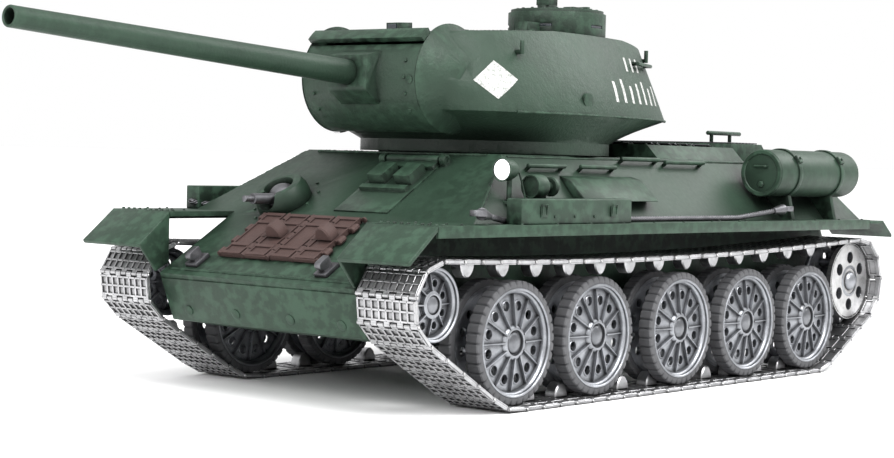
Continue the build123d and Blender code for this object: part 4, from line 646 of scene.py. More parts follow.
class TANK_OT_hull_details(bpy.types.Operator):
    """Bolts, welds and small fittings of the hull"""
    bl_idname = "tank.hull_details"
    bl_label = "Hull details"

    def execute(self, context):
        bolt = context.scene.tank_sizes.bolt
        paint = Form()
        self.front(paint, bolt)
        self.sides(paint, bolt)
        self.deck(paint, bolt)
        self.rear(paint, bolt)
        paint.finish("hull_details", "hull", finish_for("paint"), "hull_paint")
        self.grilles()
        self.drums()
        self.cables()
        return {"FINISHED"}

    def front(self, paint, bolt):
        """Bolts and welds of the nose and the front plate."""
        for _, sign in SIDES:
            paint.bolts(HULL_SKIN, [(148.0, sign * (61 + 3.6 * k), ABOVE) for k in range(10)], DOWN, bolt)
            paint.bolts(HULL_SKIN, [(135.0, sign * (68 + 8.0 * k), ABOVE) for k in range(4)], DOWN,
                        bolt * 0.8)
            edge = [(ROOF_FRONT + GLACIS_RUN * t - 1.2, sign * BESIDE, ROOF_Z - GLACIS_FALL * t)
                    for t in (0.02, 0.12, 0.24, 0.36, 0.48)]
            paint.weld(HULL_SKIN, edge, (0, -sign, 0))
            paint.bolts(HULL_SKIN, [(AHEAD, sign * 44.9, 35.2), (AHEAD, sign * 16.0, 35.5)], BACKWARD, 2.3,
                        0.5, 20)
        paint.weld(HULL_SKIN, [on_glacis(103.0, y, 12) for y in (-54, -30, 0, 30, 54)], -OUTWARD, 0.8)
        paint.weld(HULL_SKIN, [on_glacis(1.2, y, 12) for y in (-50, -20, 0, 20, 50)], -OUTWARD)
        ball = on_glacis(45.0, -33.2)
        ring = [(ball.x + x, ball.y + y, ABOVE) for x, y in circle(14.5, 10, 0.2)]
        paint.bolts(HULL_SKIN, ring, DOWN, bolt)

    def sides(self, paint, bolt):
        """Bolts and welds of the shelves and the side plates."""
        for _, sign in SIDES:
            paint.bolts(HULL_SKIN, [(x, sign * 93.4, ABOVE) for x in range(-190, 145, 24)], DOWN,
                        bolt * 0.85, 0.5)
            paint.weld(HULL_SKIN, [(x, sign * BESIDE, ROOF_Z - 1.0) for x in (64, 0, -60, -120, -185)],
                       (0, -sign, 0), 0.55)
            paint.bolts(HULL_SKIN, [(x, sign * SHELF_BOLT_Y, ABOVE) for x in (-60, -84)], DOWN, bolt)
        for x in (34.0, 84.0):
            place, normal = seat_on(("stowage_boxes",), (x, BESIDE, 83.0), (0, -1, 0))
            seat = at(place, normal)
            paint.box((-2.2, -1.8, -0.2), (2.2, 2.6, 0.7), seat, 0.2)
            loop = [(-1.5, 1.6, 0.6), (-1.5, -2.6, 1.1), (1.5, -2.6, 1.1), (1.5, 1.6, 0.6)]
            paint.tube([seat @ Vector(p) for p in loop], 0.35, 8)
        for x in (48.0, 62.0, 76.0):
            paint.bolts(("stowage_boxes",), [(x, BESIDE, 80.5)], (0, -1, 0), bolt * 0.8, 0.5)

    def deck(self, paint, bolt):
        """Bolts and small fittings of the deck."""
        nodes = ("engine_deck", "upper_hull")
        for y in (-41.5, -14.0, 14.0, 41.5):
            paint.bolts(nodes, [(-66.0 - 10 * k, y, ABOVE) for k in range(8)], DOWN, bolt)
        for y in (-28.0, 28.0):
            for x in (-68.0, -101.0, -134.0):
                place, _ = seat_on(nodes, (x, y, ABOVE), DOWN)
                paint.box((-2.4, -3.5, -0.1), (2.4, 3.5, 0.9), Matrix.Translation(place), 0.3)
                paint.tube([place + Vector((-2.6, 0, 0.7)), place + Vector((2.6, 0, 0.7))], 0.75, 10)
        paint.bolts(nodes, [(-55.0, y, ABOVE) for y in range(-44, 45, 11)], DOWN, bolt)

    def rear(self, paint, bolt):
        """Round cover bolts, cowl bolts and the bolted edges of the rear plate."""
        box_low, box_high = low("rear_plate"), high("rear_plate")
        cover_z = box_low.z + 0.52 * (box_high.z - box_low.z)
        cowl_z = middle("exhaust_pipes").z
        starts = [(11.8 * x, cover_z + 9.6 * y) for x, y in circle(1.0, 12)]
        for y in range(-52, 53, 8):
            starts += [(y, box_low.z + 3.4), (y * 0.86, box_high.z - 3.0)]
        for _, sign in SIDES:
            starts += [(sign * 32 + dy, cowl_z + dz) for dy, dz in ((-10, -5), (10, -5), (-10, 6), (10, 6))]
        paint.bolts(("rear_plate",), [(BEHIND, y, z) for y, z in starts], FORWARD, bolt)

    def grilles(self):
        """Slats over the deck and woven wire over the hump behind it."""
        dark = Form()
        nodes = ("engine_deck", "upper_hull")
        for k in range(13):
            x = -69.5 - 5.2 * k
            for y in (-28.0, 28.0):
                place, _ = seat_on(nodes, (x, y, ABOVE), DOWN)
                tilt = Matrix.Translation(place) @ Matrix.Rotation(math.radians(-24), 4, "Y")
                dark.box((-1.9, -12.0, 0.1), (1.9, 12.0, 0.75), tilt, 0.15, 1)
        runs = [([(x, -36.0 + 3.0 * k) for x in (-178, -172, -165, -158, -151)], 0.25) for k in range(25)]
        runs += [([(-177.0 + 3.2 * k, y) for y in (-37, -12, 12, 37)], 0.45) for k in range(9)]
        for run, lift in runs:
            seats = [seat_on(nodes, (x, y, ABOVE), DOWN)[0] + Vector((0, 0, lift)) for x, y in run]
            dark.tube(seats, 0.32, 6)
        dark.finish("deck_grilles", "hull", finish_for("dark_steel"), "hull_paint")

    def drums(self):
        """End rims, filler caps, handles and strap buckles of the fuel drums."""
        form = Form()
        rim = [(9.2, -0.3), (11.4, -0.3), (11.5, 0.1), (11.1, 0.5), (9.6, 0.5), (9.2, 0.1)]
        grip = [(-3.2, -0.2), (-3.2, 1.6), (-2.6, 2.0), (2.6, 2.0), (3.2, 1.6), (3.2, -0.2)]
        for sign, x0, x1 in DRUMS:
            for end, out in ((x0, -1), (x1, 1)):
                seat = at(spot(end, sign * DRUM_Y, DRUM_Z), (out, 0, 0), (0, 0, 1))
                swept_ring(form, [rim] * 48, seat)
                form.lathe([(1.7, -0.2), (1.7, 0.8), (1.3, 1.1)], 6, seat @ move(0, -5.5, 0))
                form.tube([seat @ Vector((x, 3.4, z)) for x, z in grip], 0.5, 8)
            for x in (x0 + DRUM_STRAP_IN, x1 - DRUM_STRAP_IN):
                buckle = at(spot(x, sign * DRUM_Y, DRUM_Z), (0, sign * 0.82, 0.57), (1, 0, 0))
                form.box((-2.1, -1.8, 12.2), (2.1, 1.8, 13.6), buckle, 0.3)
                form.lathe([(0.7, 13.4), (0.7, 14.2), (0.5, 14.4)], 6, buckle)
        form.finish("drum_fittings", "hull", finish_for("paint"), "hull_paint")

    def cables(self):
        """Tow cables laid up from twisted strands."""
        strands = Form()
        side_y = seat_on(("upper_hull",), (0, BESIDE, SHELF_Z + 1.2), (0, -1, 0))[0].y + 2.4
        route = [(113.0, 88.0, 3.4), (97.0, side_y + 0.5, 1.3), (0.0, side_y, 1.2), (-80.0, 86.0, 1.4),
                 (-110.0, 88.0, 4.6)]
        for _, sign in SIDES:
            path = [spot(x, sign * y, SHELF_Z + z) for x, y, z in route]
            fine = divided(path, 1.3)
            twists = [circle(0.85, 6, 2 * math.pi * k / 9) for k in range(len(fine))]
            for strand in range(6):
                strands.tube([p + Vector((0, *twist[strand])) for p, twist in zip(fine, twists)], 0.52, 5)
        strands.finish("tow_cable_strands", "hull", finish_for("dark_steel"), "dark_plastic", smooth=0)


class TANK_OT_spares(bpy.types.Operator):
    """Spare track links clamped across the front plate"""
    bl_idname = "tank.spares"
    bl_label = "Spare links"

    def execute(self, context):
        form = Form()
        across, down, thick = 14.6, 33.0, 1.3
        kinds = [link_shape(across, down, horned, thick, 7) for horned in (False, True)]
        for k in range(4):
            centre = spot(*on_glacis(75.5, -33.0 + across * (k + 0.5), 1.5))
            axes = Matrix(((0, 1, 0), -SLOPE, OUTWARD)).transposed().to_4x4()
            turn = Matrix.Translation(centre) @ axes
            form.copy_of(kinds[k % 2], turn)
        for kind in kinds:
            kind.mesh.free()
        form.finish("spare_links", "hull", finish_for("brown"), "brown_track", ["spare_track"], smooth=30)
        return {"FINISHED"}


LAMP, HORN = (84.0, 74.5, 99.6), (66.0, 78.6, 92.7)
LAMP_WIRE = [(79.0, 74.5, 99.6), (76.6, 74.6, 98.4), (75.8, 75.4, 95.0), (75.4, 76.6, 90.0),
             (75.2, 77.4, 86.0)]


class TANK_OT_lamp(bpy.types.Operator):
    """Lit headlamp, its wire, and the horn"""
    bl_idname = "tank.lamp"
    bl_label = "Lamp and horn"

    def execute(self, context):
        body, glass = Form(), Form()
        x, y, z = LAMP
        lamp = at(spot(x, y, z), FORWARD, (0, 0, 1))
        bowl = [(1.2, -5.4), (2.4, -4.8), (3.4, -3.2), (4.3, -1.0), (4.7, 1.2), (4.75, 3.9), (5.0, 4.0),
                (5.0, 4.7), (4.5, 4.7), (4.4, 3.6), (1.0, 3.0)]
        body.lathe(bowl, 40, lamp)
        place, _ = seat_on(("upper_hull",), (x - 1.0, y, z), DOWN)
        foot = [spot(x - 1.0, y, z - 4.2), spot(x - 1.0, y, z - 6.6), place + Vector((0, 0, -0.5))]
        body.tube(foot, 1.1, 12)
        body.lathe([(3.4, -0.4), (3.4, 0.5), (3.0, 0.9)], 24, Matrix.Translation(place))
        body.tube([spot(*p) for p in LAMP_WIRE], 0.45, 8)
        x, y, z = HORN
        horn = at(spot(x, y, z), FORWARD, (0, 0, 1))
        body.lathe([(2.0, -8.0), (2.0, -0.6), (3.6, 0), (5.0, 0.6), (5.2, 1.4), (5.2, 7.4), (4.9, 8.0),
                    (4.3, 8.0), (4.1, 7.2), (1.4, 6.6)], 40, horn)
        body.lathe([(1.0, -8.4), (3.4, -8.0), (4.2, -7.2), (4.2, -6.0), (3.6, -5.5), (1.8, -5.4)], 32, horn)
        for k in range(3):
            r, top = 4.6 - 1.2 * k, 7.4 - 0.1 * k
            body.lathe([(r, 7.0), (r, top), (r - 0.4, top + 0.1)], 32, horn)
        stem = [spot(x - 3.0, y - inward, z - drop) for inward, drop in ((0.0, 1.1), (1.0, 4.7), (2.0, 8.2))]
        body.tube(stem, 1.0, 10)
        glass.dome(4.35, 1.3, 36, lamp @ move(0, 0, 3.9), rows=5)
        body.finish("lamp_and_horn_bodies", "hull", finish_for("paint"), "hull_paint", ["lamp_and_horn"])
        glass.finish("lamp_lens", "hull", finish_for("lens"), "lamp_glass", smooth=60)
        return {"FINISHED"}


# ---- fittings of the turret --------------------------------------------------------------------------
CUPOLA_X, CUPOLA_Y = -17.3, 22.0
LID_X, LID_Y = -14.0, -24.0


class TANK_OT_turret_details(bpy.types.Operator):
    """Roof bolts and welds, sight glasses, a plain diamond patch and plain strokes"""
    bl_idname = "tank.turret_details"
    bl_label = "Turret details"

    def execute(self, context):
        bolt = context.scene.tank_sizes.bolt
        skin = ("turret_shell",)
        paint, white, dark = Form(), Form(), Form()
        for _, sign in SIDES:
            side = (0, -sign, 0)

            def patch(outline, lift, cells):
                white.slab_on(skin, [(x, sign * BESIDE, z) for x, z in outline], side, lift, cells)

            patch([(77.0, 137.6), (67.4, 129.8), (55.5, 138.6), (64.6, 146.6)], 0.12, 8)
            for k in range(7):
                x, tall = -12.0 - 9.4 * k, 9.6 + 1.6 * math.sin(2.1 * k)
                patch([(x, 131.6), (x - 2.6, 131.4), (x - 4.0, 131.4 + tall), (x - 1.4, 131.6 + tall)],
                      0.1, 3)
            for x in (-36.0, -44.0, -52.0):
                patch([(x, 146.8), (x - 2.4, 146.8), (x - 3.6, 153.4), (x - 1.2, 153.4)], 0.1, 3)
            seam = [(x, sign * y, ABOVE) for x, y in ((60, 28), (30, 41), (0, 40), (-40, 30), (-78, 19))]
            paint.weld(skin, seam, DOWN, 0.6)
            paint.weld(skin, [(x, sign * BESIDE, 124.6) for x in (60, 40, 15, -15, -50, -90)], side, 0.7)
        cupola_ring = [(CUPOLA_X + x, CUPOLA_Y + y, ABOVE) for x, y in circle(19.4, 20)]
        paint.bolts(("cupola",), cupola_ring, DOWN, bolt, 0.6)
        lid_ring = [(LID_X + x, LID_Y + y, ABOVE) for x, y in circle(15.2, 20, 0.15)]
        paint.bolts(skin + ("turret_fittings",), lid_ring, DOWN, bolt * 0.85, 0.5)
        paint.bolts(skin, [(58.0, y, ABOVE) for y in range(-28, 29, 8)], DOWN, bolt)
        paint.bolts(skin, [(-82.0, y, ABOVE) for y in (-16, -8, 0, 8, 16)], DOWN, bolt)
        for x, y in circle(1.0, 5, math.radians(20)):
            slit = at(spot(CUPOLA_X + 22.2 * x, CUPOLA_Y + 22.2 * y, 166.62), (x, y, 0), (0, 0, 1))
            dark.box((-4.2, -0.6, -0.4), (4.2, 0.6, 0.3), slit, 0.1, 1)
        for x, y in ((48.5, -20.0), (12.0, 28.0)):
            place, _ = seat_on(("turret_fittings",), (x, y, ABOVE), DOWN)
            dark.box((3.9, -2.6, -3.2), (4.6, 2.6, -0.9), Matrix.Translation(place), 0.15, 1)
        paint.finish("turret_details", "turret", finish_for("cast_paint"), "hull_paint")
        white.finish("turret_markings", "turret", finish_for("white"), "hull_paint", smooth=60)
        dark.finish("sight_glasses", "turret", finish_for("glass"), "dark_plastic")
        self.gun(bolt)
        return {"FINISHED"}

    def gun(self, bolt):
        """Bolts and the sight hole of the mantlet."""
        form = Form()
        for y in (-27.0, 27.0):
            form.bolts(("mantlet",), [(AHEAD, y, z) for z in (124, 131, 138, 145)], BACKWARD, bolt * 1.1)
        form.bolts(("mantlet",), [(AHEAD, 30.0, 137.0)], BACKWARD, 1.8, 0.5, 20)
        form.finish("mantlet_details", "mantlet", finish_for("cast_paint"), "hull_paint")


# ---- wheels -----------------------------------------------------------------------------------------
def crosswise(centre, sign):
    """Matrix with local Z pointing out of one side of the tank, at a centre in millimetres."""
    return at(centre, (0, sign, 0), up=(0, 0, 1))


def swept_ring(form, profiles, matrix):
    """A ring whose closed cross-section, of (radius, height), may change from step to step."""
    rings = [[(r * x, r * y, h) for r, h in profile]
             for profile, (x, y) in zip(profiles, circle(1.0, len(profiles)))]
    form.loft(rings + [rings[0]], matrix, capped=False)


def pierced_web(form, matrix, inner, outer, holes, hole_r, hole_pcr, top, thick):
    """A ring-shaped web with round holes; top gives its height at a radius."""
    share = 6
    for k in range(holes):
        middle_angle = 2 * math.pi * (k + 0.5) / holes
        half = math.pi / holes
        rim = [(inner, -half + 2 * half * i / share) for i in range(share)]
        rim += [(inner + (outer - inner) * i / share, half) for i in range(share)]
        rim += [(outer, half - 2 * half * i / share) for i in range(share)]
        rim += [(outer - (outer - inner) * i / share, -half) for i in range(share)]
        rim_xy = [(r * math.cos(middle_angle + a), r * math.sin(middle_angle + a)) for r, a in rim]
        cx, cy = hole_pcr * math.cos(middle_angle), hole_pcr * math.sin(middle_angle)
        hole_xy = []
        for x, y in rim_xy:
            reach = math.hypot(x - cx, y - cy)
            hole_xy.append((cx + (x - cx) * hole_r / reach, cy + (y - cy) * hole_r / reach))

        def raised(points, drop):
            return [(x, y, top(math.hypot(x, y)) - drop) for x, y in points]

        form.loft([raised(rim_xy, 0), raised(hole_xy, 0), raised(hole_xy, thick), raised(rim_xy, thick)],
                  matrix, capped=False)


def spokes(form, matrix, count, inner, outer, width, low_z, heights):
    """Radial ribs between two radii, with a height at each end."""
    for k in range(count):
        turn = matrix @ Matrix.Rotation(2 * math.pi * k / count, 4, "Z")
        ends = []
        for r, h, w in ((inner, heights[0], width * 1.3), (outer, heights[1], width * 0.8)):
            ends.append([(r, -w, low_z), (r, w, low_z), (r, w * 0.5, h), (r, -w * 0.5, h)])
        form.loft(ends, turn)


def pressed_disc(form, matrix, rim_r, half, web, hub_r, holes, hole_r, hole_pcr, ribs):
    """One face of a twin wheel: rolled rim, dished web with holes and ribs, and the hub's collar."""
    deep = half - web
    rim = [(rim_r, half - 7.0), (rim_r, half - 0.4), (rim_r - 0.25, half - 0.05), (rim_r - 0.8, half),
           (rim_r - 1.2, half - 0.3), (rim_r - 1.3, half - 1.2), (rim_r - 1.9, half - 1.5),
           (rim_r - 2.3, half - 2.2), (rim_r - 2.5, deep), (rim_r - 2.5, deep - 1.6),
           (rim_r - 1.6, deep - 1.8), (rim_r - 1.6, half - 7.0)]
    swept_ring(form, [rim] * 96, matrix)
    web_out = rim_r - 2.4

    def dish(r):
        share = (r - hub_r) / (web_out - hub_r)
        return deep + 1.5 * max(0.0, 1 - share) ** 1.3

    pierced_web(form, matrix, hub_r - 0.2, web_out, holes, hole_r, hole_pcr, dish, 1.5)
    swollen = [(hole_r + 0.55, 0), (hole_r + 0.3, 0.28), (hole_r, 0.3), (hole_r - 0.1, 0)]
    for x, y in circle(hole_pcr, holes, math.pi / holes):
        swept_ring(form, [swollen] * 20, matrix @ move(x, y, dish(hole_pcr) - 0.06))
    spokes(form, matrix, ribs, hub_r - 0.3, web_out - 0.3, 0.42, deep - 0.5, (deep + 3.1, deep + 1.3))
    collar = [(hub_r, deep - 1.0), (hub_r + 0.5, deep + 1.6), (hub_r, half - 1.2), (hub_r - 0.8, half - 0.8),
              (hub_r - 1.5, half - 0.9), (hub_r - 1.6, half - 2.2), (hub_r - 2.5, half - 2.4),
              (hub_r - 2.5, deep - 1)]
    swept_ring(form, [collar] * 48, matrix)


def islands(shape):
    """The separate connected groups of vertices of a mesh."""
    left = set(shape.verts)
    groups = []
    while left:
        stack, group = [left.pop()], []
        while stack:
            vert = stack.pop()
            group.append(vert)
            for edge in vert.link_edges:
                other = edge.other_vert(vert)
                if other in left:
                    left.remove(other)
                    stack.append(other)
        groups.append(group)
    return groups


def kept_solids(form, node, wanted):
    """Adds the solids of a CAD node that pass a test on their lowest and highest corners."""
    shape = tidy_copy(node)
    for group in islands(shape):
        points = np.array([vert.co for vert in group]) / MM
        if not wanted(points.min(0), points.max(0)):
            bmesh.ops.delete(shape, geom=group, context="VERTS")
    bmesh.ops.scale(shape, vec=(1 / MM,) * 3, verts=shape.verts)
    source = Form()
    source.mesh = shape
    form.copy_of(source, Matrix())
    shape.free()


def wheel_seat(node, sign):
    """Centre line matrix and outer radius of a wheel, its middle plane on the track's."""
    centre = middle(node)
    radius = (high(node).z - low(node).z) / 2
    return crosswise((centre.x, sign * TRACK_MIDDLE, centre.z), sign), radius


TRACK_MIDDLE = (high("track_left").y + low("track_left").y) / 2
WHEEL_HALF = high("road_wheel_left_1").y - TRACK_MIDDLE
BACK = Matrix.Rotation(math.pi, 4, "X")


def tyre(form, matrix, outer, inner, half, notches):
    """A rubber tyre with short notches cut in its shoulders."""
    plain = [(inner, half - 6.9), (outer - 0.5, half - 6.9), (outer, half - 6.4), (outer, half - 0.9),
             (outer - 0.4, half - 0.4), (inner + 1.4, half - 0.1), (inner, half - 0.25)]
    cut = [(inner, half - 6.9), (outer - 0.9, half - 6.7), (outer - 0.45, half - 6.0),
           (outer - 0.45, half - 1.3),
           (outer - 0.8, half - 0.9), (inner + 1.4, half - 0.45), (inner, half - 0.25)]
    swept_ring(form, [plain, plain, plain, plain, cut] * notches, matrix)


class TANK_OT_wheels(bpy.types.Operator):
    """Twin road wheels: pressed discs with ribs and holes, notched tyres, and a domed cap"""
    bl_idname = "tank.wheels"
    bl_label = "Road wheels"

    def execute(self, context):
        for side, sign in SIDES:
            for number in WHEELS:
                self.wheel(f"road_wheel_{side}_{number}", sign, context.scene.tank_sizes.tyre)
                arm = f"swing_arm_{side}_{number}"
                refined(arm, arm, finish_for("dark_steel"), 0.3)
        return {"FINISHED"}

    def wheel(self, node, sign, tyre_depth):
        matrix, radius = wheel_seat(node, sign)
        rim_r = radius - tyre_depth
        discs, rubber_part, cap = Form(), Form(), Form()
        for flip in (Matrix(), BACK):
            pressed_disc(discs, matrix @ flip, rim_r, WHEEL_HALF, 3.7, 6.9, 12, 2.1, 15.6, 12)
            tyre(rubber_part, matrix @ flip, radius, rim_r, WHEEL_HALF, 38)
        kept_solids(discs, node, lambda lo, hi: hi[2] - lo[2] < 13 and hi[1] - lo[1] > 5)
        cap.dome(4.7, 1.7, 40, matrix @ move(0, 0, WHEEL_HALF - 2.3), rows=6)
        discs.finish(node + "_discs", node, finish_for("wheel"), "wheel_metal", [node])
        rubber_part.finish(node + "_tyres", node, finish_for("rubber"), "tyre_rubber", smooth=25)
        cap.finish(node + "_cap", node, finish_for("cap"), "wheel_metal", smooth=60)


class TANK_OT_idlers(bpy.types.Operator):
    """Front idlers: smaller pierced twin discs with ribs and a cap"""
    bl_idname = "tank.idlers"
    bl_label = "Idlers"

    def execute(self, context):
        for side, sign in SIDES:
            node = f"idler_{side}"
            matrix, radius = wheel_seat(node, sign)
            discs, cap = Form(), Form()
            for flip in (Matrix(), BACK):
                pressed_disc(discs, matrix @ flip, radius, WHEEL_HALF, 4.2, 5.4, 8, 1.6, 9.0, 8)
            kept_solids(discs, node, lambda lo, hi: hi[2] - lo[2] < 13 and hi[1] - lo[1] > 5)
            cap.dome(4.2, 1.8, 36, matrix @ move(0, 0, WHEEL_HALF - 2.4), rows=6)
            discs.finish(node + "_discs", node, finish_for("wheel"), "wheel_metal", [node])
            cap.finish(node + "_cap", node, finish_for("cap"), "wheel_metal", smooth=60)
        return {"FINISHED"}


class TANK_OT_sprockets(bpy.types.Operator):
    """Rear drive sprockets: pierced discs, rollers, a bolted hub and the shaft with its gear"""
    bl_idname = "tank.sprockets"
    bl_label = "Sprockets"

    def execute(self, context):
        for side, sign in SIDES:
            node, pinion = f"sprocket_{side}", f"motor_pinion_{side}"
            matrix, _ = wheel_seat(node, sign)
            radius = (high(node).z - low(node).z) / 2
            half = (high(node).y if sign > 0 else -low(node).y) - TRACK_MIDDLE - 3.0
            discs, inner = Form(), Form()
            for flip in (Matrix(), BACK):
                self.disc(discs, matrix @ flip, radius, half)
            for x, y in circle(10.9, 6):
                discs.lathe([(1.9, 0), (1.9, 2 * half - 4)], 16, matrix @ move(x, y, 2 - half))
            discs.lathe([(7.2, -half - 1.9), (7.2, half - 1)], 32, matrix)
            discs.dome(5.0, 2.6, 32, matrix @ move(0, 0, half + 0.3))
            kept_solids(inner, node, lambda lo, hi: min(abs(lo[1]), abs(hi[1])) < 50)
            discs.finish(node + "_discs", node, finish_for("wheel"), "wheel_metal", [node])
            inner.finish(node + "_shaft", node, finish_for("steel"), "gear_steel")
            refined(pinion, pinion, finish_for("steel"), 0.1)
        return {"FINISHED"}

    def disc(self, form, matrix, radius, half):
        """One sprocket disc with six holes, a raised rim and a bolted hub."""
        pierced_web(form, matrix, 6.9, radius - 1.3, 6, 3.1, 12.2, lambda r: half - 0.7, 1.9)
        rim = [(radius - 1.4, half - 2.6), (radius - 0.3, half - 2.6), (radius, half - 2.2),
               (radius, half - 0.3), (radius - 0.4, half), (radius - 1.1, half), (radius - 1.5, half - 0.5)]
        swept_ring(form, [rim] * 72, matrix)
        hub = [(6.8, half - 2.4), (8.6, half - 2.4), (8.4, half - 0.2), (7.9, half + 0.2), (6.8, half + 0.3)]
        swept_ring(form, [hub] * 40, matrix)
        for x, y in circle(15.6, 12):
            form.lathe([(0.75, 0), (0.75, 0.5), (0.55, 0.75)], 6, matrix @ move(x, y, half - 0.8))


# ---- tracks -----------------------------------------------------------------------------------------
def pin_centres(sign):
    """Centres of one track's pins, in order round the loop, read from the frame."""
    points = np.array([vert.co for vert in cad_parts["track_pins"].data.vertices]) / MM
    points = points[points[:, 1] * sign > 0][:, [0, 2]]
    centres = []
    while len(points):
        near = np.hypot(*(points - points[0]).T) < 3.0
        lows, highs = points[near].min(0), points[near].max(0)
        centres.append((lows + highs) / 2)
        points = points[~near]
    hub = np.mean(centres, axis=0)
    return sorted(centres, key=lambda c: math.atan2(c[1] - hub[1], c[0] - hub[0]))


def link_shape(pitch, width, horned, thick=1.0, bands=9):
    """One link: webs and ribs round pockets on both faces, knuckles, side bars and a guide horn."""
    form = Form()
    half, core, side = pitch / 2, pitch / 2 - 1.35 * thick, width / 2

    def bar(a, b, bevel=0.12, matrix=Matrix()):
        form.box(a, b, matrix, bevel, segments=1)

    form.box((-core, -side + 0.4, -0.25 * thick), (core, side - 0.4, 0.45 * thick))
    for x in (-core + 0.45, 0.0, core - 0.45):
        bar((x - 0.45, -side + 0.2, -thick), (x + 0.45, side - 0.2, -0.2 * thick))
    columns = 8
    for k in range(columns + 1):
        y = -side + 0.7 + (width - 1.4) * k / columns
        bar((-core, y - 0.42, -thick), (core, y + 0.42, -0.2 * thick))
    for y in (-side + 1.2, -side * 0.55, side * 0.55, side - 1.2):
        bar((-core, y - 1.0, 0.4 * thick), (core, y + 1.0, thick), 0.15)
    for x in (-core + 0.5, core - 0.5):
        form.box((x - 0.4, -side + 0.6, 0.4 * thick), (x + 0.4, side - 0.6, 0.85 * thick))
    band = width / bands
    for number in range(bands):
        end = half if number % 2 else -half
        y0, y1 = -side + number * band + 0.22, -side + (number + 1) * band - 0.22
        seat = move(end, y0, 0) @ Matrix.Rotation(-math.pi / 2, 4, "X")
        wide = y1 - y0
        form.lathe([(0.8 * thick, 0), (thick, 0.2), (thick, wide - 0.2), (0.8 * thick, wide)], 10, seat)
        inner = math.copysign(core - 0.3, end)
        bar((min(end, inner), y0, -0.85 * thick), (max(end, inner), y1, 0.75 * thick))
    for sign in (1, -1):
        reach = side + (0.25 if horned else -0.2)
        seat = move(0, sign * reach, 0) @ Matrix.Rotation(sign * math.pi / 2, 4, "X")
        tall, long = (0.62 * thick, half) if horned else (0.45 * thick, core + 0.3)
        bar((-long, -tall, 0), (long, tall, 0.8), matrix=seat)
        if horned:
            for end in (-half, half):
                eye = [(0.5, -0.12), (0.62, 0), (0.92 * thick, 0.0), (thick, 0.15), (thick, 0.8)]
                form.lathe(eye, 14, seat @ move(end, 0, 0))
    if horned:
        flank = [(4.3, 0), (4.3, 1.7), (3.7, 3.5), (2.5, 5.2), (1.0, 6.3)]
        outline = [(-x, z) for x, z in flank] + flank[::-1]
        upright = move(0, 0, thick * 0.8) @ Matrix.Rotation(math.pi / 2, 4, "X")
        form.prism(outline, -3.0, 3.0, upright, 0.55)
    return form


LINK_WIDE = 31.0
HORN_HEIGHT, HORN_REACH = 6.5, 2.2      # where a guide horn's tip is looked for


class TANK_OT_tracks(bpy.types.Operator):
    """Cast link tracks with waffled plates, guide horns and pins"""
    bl_idname = "tank.tracks"
    bl_label = "Tracks"

    def execute(self, context):
        pins = Form()
        for side, sign in SIDES:
            node = f"track_{side}"
            centres = pin_centres(sign)
            count = len(centres)
            pitch = float(np.hypot(*(centres[1] - centres[0])))
            kinds = [link_shape(pitch, LINK_WIDE, horned) for horned in (False, True)]
            surface = np.array([vert.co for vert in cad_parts[node].data.vertices]) / MM
            links = Form()
            for k in range(count):
                a, b = centres[k], centres[(k + 1) % count]
                along = (b - a) / np.hypot(*(b - a))
                inward = np.array((-along[1], along[0]))
                mid = (a + b) / 2
                horn_tip = mid + inward * HORN_HEIGHT
                horned = bool((np.hypot(*(surface[:, [0, 2]] - horn_tip).T) < HORN_REACH).any())
                turn = Matrix(((along[0], 0, inward[0], mid[0]), (0, 1, 0, sign * TRACK_MIDDLE),
                               (along[1], 0, inward[1], mid[1]), (0, 0, 0, 1)))
                links.copy_of(kinds[horned], turn)
                seat = crosswise((a[0], sign * (TRACK_MIDDLE - LINK_WIDE / 2 - 0.5), a[1]), sign)
                pins.lathe([(0.35, -0.2), (0.6, 0), (0.6, LINK_WIDE + 1), (0.45, LINK_WIDE + 1.2)], 10, seat)
            for kind in kinds:
                kind.mesh.free()
            links.finish(node + "_links", "hull", finish_for("track"), "track_metal", [node], smooth=30)
        pins.finish("track_pin_rods", "hull", finish_for("steel"), "track_metal", ["track_pins"])
        return {"FINISHED"}


# ---- the stage --------------------------------------------------------------------------------------
CAMERA_PLACE = (0.71293, 0.59216, 0.10458)
CAMERA_YAW, CAMERA_DIP, CAMERA_ROLL = -2.45041, 0.03464, 0.02665
CAMERA_LENS, SENSOR = 80.72, 36.0
CAMERA_SHIFT = (-0.0059, -0.0036)
FLOOR_HALF = 60.0                     # metres
TARGET = Vector((0.0, 0.0, 0.08))     # where the panels look
PANELS = [("key_panel", (0.3, 1.5, 1.5), 1.0, 40), ("front_panel", (1.6, 0.2, 0.9), 0.8, 22),
          ("rear_panel", (-1.3, 0.5, 1.1), 0.8, 14)]     # name, place, size and power
SUN_POWER, SUN_SPREAD, SUN_TURN = 1.6, 50, (-28, 16, 0)     # the last two in degrees


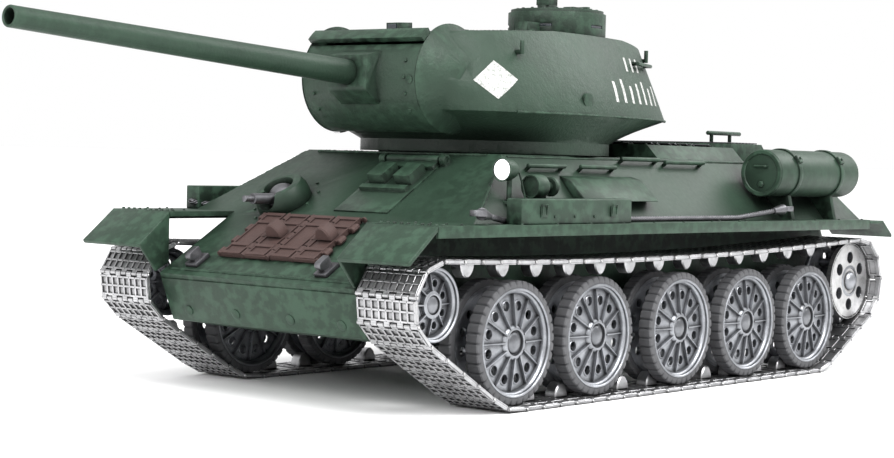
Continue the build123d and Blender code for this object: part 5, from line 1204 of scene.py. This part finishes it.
class TANK_OT_stage(bpy.types.Operator):
    """Pale studio floor, soft panel lights and the camera"""
    bl_idname = "tank.stage"
    bl_label = "Studio"

    def execute(self, context):
        scene = context.scene
        floor = bpy.data.meshes.new("studio_floor")
        corners = [(x * FLOOR_HALF, y * FLOOR_HALF, 0) for x, y in ((-1, -1), (1, -1), (1, 1), (-1, 1))]
        floor.from_pydata(corners, [], [(0, 1, 2, 3)])
        floor.materials.append(studio_floor(scene.tank_colours.floor))
        self.put(floor)
        self.lights(scene)
        self.camera(scene)
        scene.view_settings.view_transform = "Standard"
        return {"FINISHED"}

    def put(self, data):
        """Adds an object under its data's name."""
        made = bpy.data.objects.new(data.name, data)
        bpy.context.scene.collection.objects.link(made)
        return made

    def lights(self, scene):
        """A white surround, three soft panels and a wide overhead sun."""
        world = bpy.data.worlds.new("studio")
        world.use_nodes = True
        world.node_tree.nodes["Background"].inputs["Color"].default_value = (1.0, 1.0, 1.0, 1.0)
        scene.world = world
        for name, place, size, power in PANELS:
            lamp = bpy.data.lights.new(name, "AREA")
            lamp.shape, lamp.size, lamp.energy = "SQUARE", size, power
            holder = self.put(lamp)
            holder.location = place
            holder.rotation_euler = (TARGET - Vector(place)).to_track_quat("-Z", "Y").to_euler()
        sun = bpy.data.lights.new("overhead_sun", "SUN")
        sun.energy, sun.angle = SUN_POWER, math.radians(SUN_SPREAD)
        self.put(sun).rotation_euler = [math.radians(angle) for angle in SUN_TURN]

    def camera(self, scene):
        """The camera, level but for a slight roll."""
        camera = bpy.data.cameras.new("camera")
        camera.lens, camera.sensor_width, camera.sensor_fit = CAMERA_LENS, SENSOR, "HORIZONTAL"
        camera.clip_start = 0.01
        camera.shift_x, camera.shift_y = CAMERA_SHIFT
        scene.camera = self.put(camera)
        ahead = Vector((math.cos(CAMERA_YAW) * math.cos(CAMERA_DIP),
                        math.sin(CAMERA_YAW) * math.cos(CAMERA_DIP), -math.sin(CAMERA_DIP)))
        right = ahead.cross(Vector((0, 0, 1))).normalized()
        level = Matrix((right, right.cross(ahead), -ahead)).transposed().to_4x4()
        roll = Matrix.Rotation(CAMERA_ROLL, 4, "Z")
        scene.camera.matrix_world = Matrix.Translation(CAMERA_PLACE) @ level @ roll


OPERATORS = [TANK_OT_plates, TANK_OT_hull_details, TANK_OT_spares, TANK_OT_lamp, TANK_OT_turret,
             TANK_OT_turret_details, TANK_OT_wheels, TANK_OT_idlers, TANK_OT_sprockets, TANK_OT_tracks,
             TANK_OT_stage]


class TANK_PT_panel(bpy.types.Panel):
    """Sizes, colours and the steps that build the tank"""
    bl_idname = "TANK_PT_panel"
    bl_label = "Model Tank"
    bl_space_type = "VIEW_3D"
    bl_region_type = "UI"
    bl_category = "Model Tank"

    def draw(self, context):
        for group in (context.scene.tank_sizes, context.scene.tank_colours):
            for name in group.__annotations__:
                self.layout.prop(group, name)
        for operator in OPERATORS:
            self.layout.operator(operator.bl_idname)


CLASSES = [TankColours, TankSizes, *OPERATORS, TANK_PT_panel]


def register():
    """Registers the classes and the scene's settings."""
    for item in CLASSES:
        bpy.utils.register_class(item)
    bpy.types.Scene.tank_colours = PointerProperty(type=TankColours)
    bpy.types.Scene.tank_sizes = PointerProperty(type=TankSizes)


def unregister():
    """Takes the settings and the classes away again."""
    del bpy.types.Scene.tank_sizes
    del bpy.types.Scene.tank_colours
    for item in reversed(CLASSES):
        bpy.utils.unregister_class(item)


def main():
    """Builds every piece in order."""
    register()
    for operator in OPERATORS:
        group, name = operator.bl_idname.split(".")
        getattr(getattr(bpy.ops, group), name)()


if __name__ == "__main__":
    main()
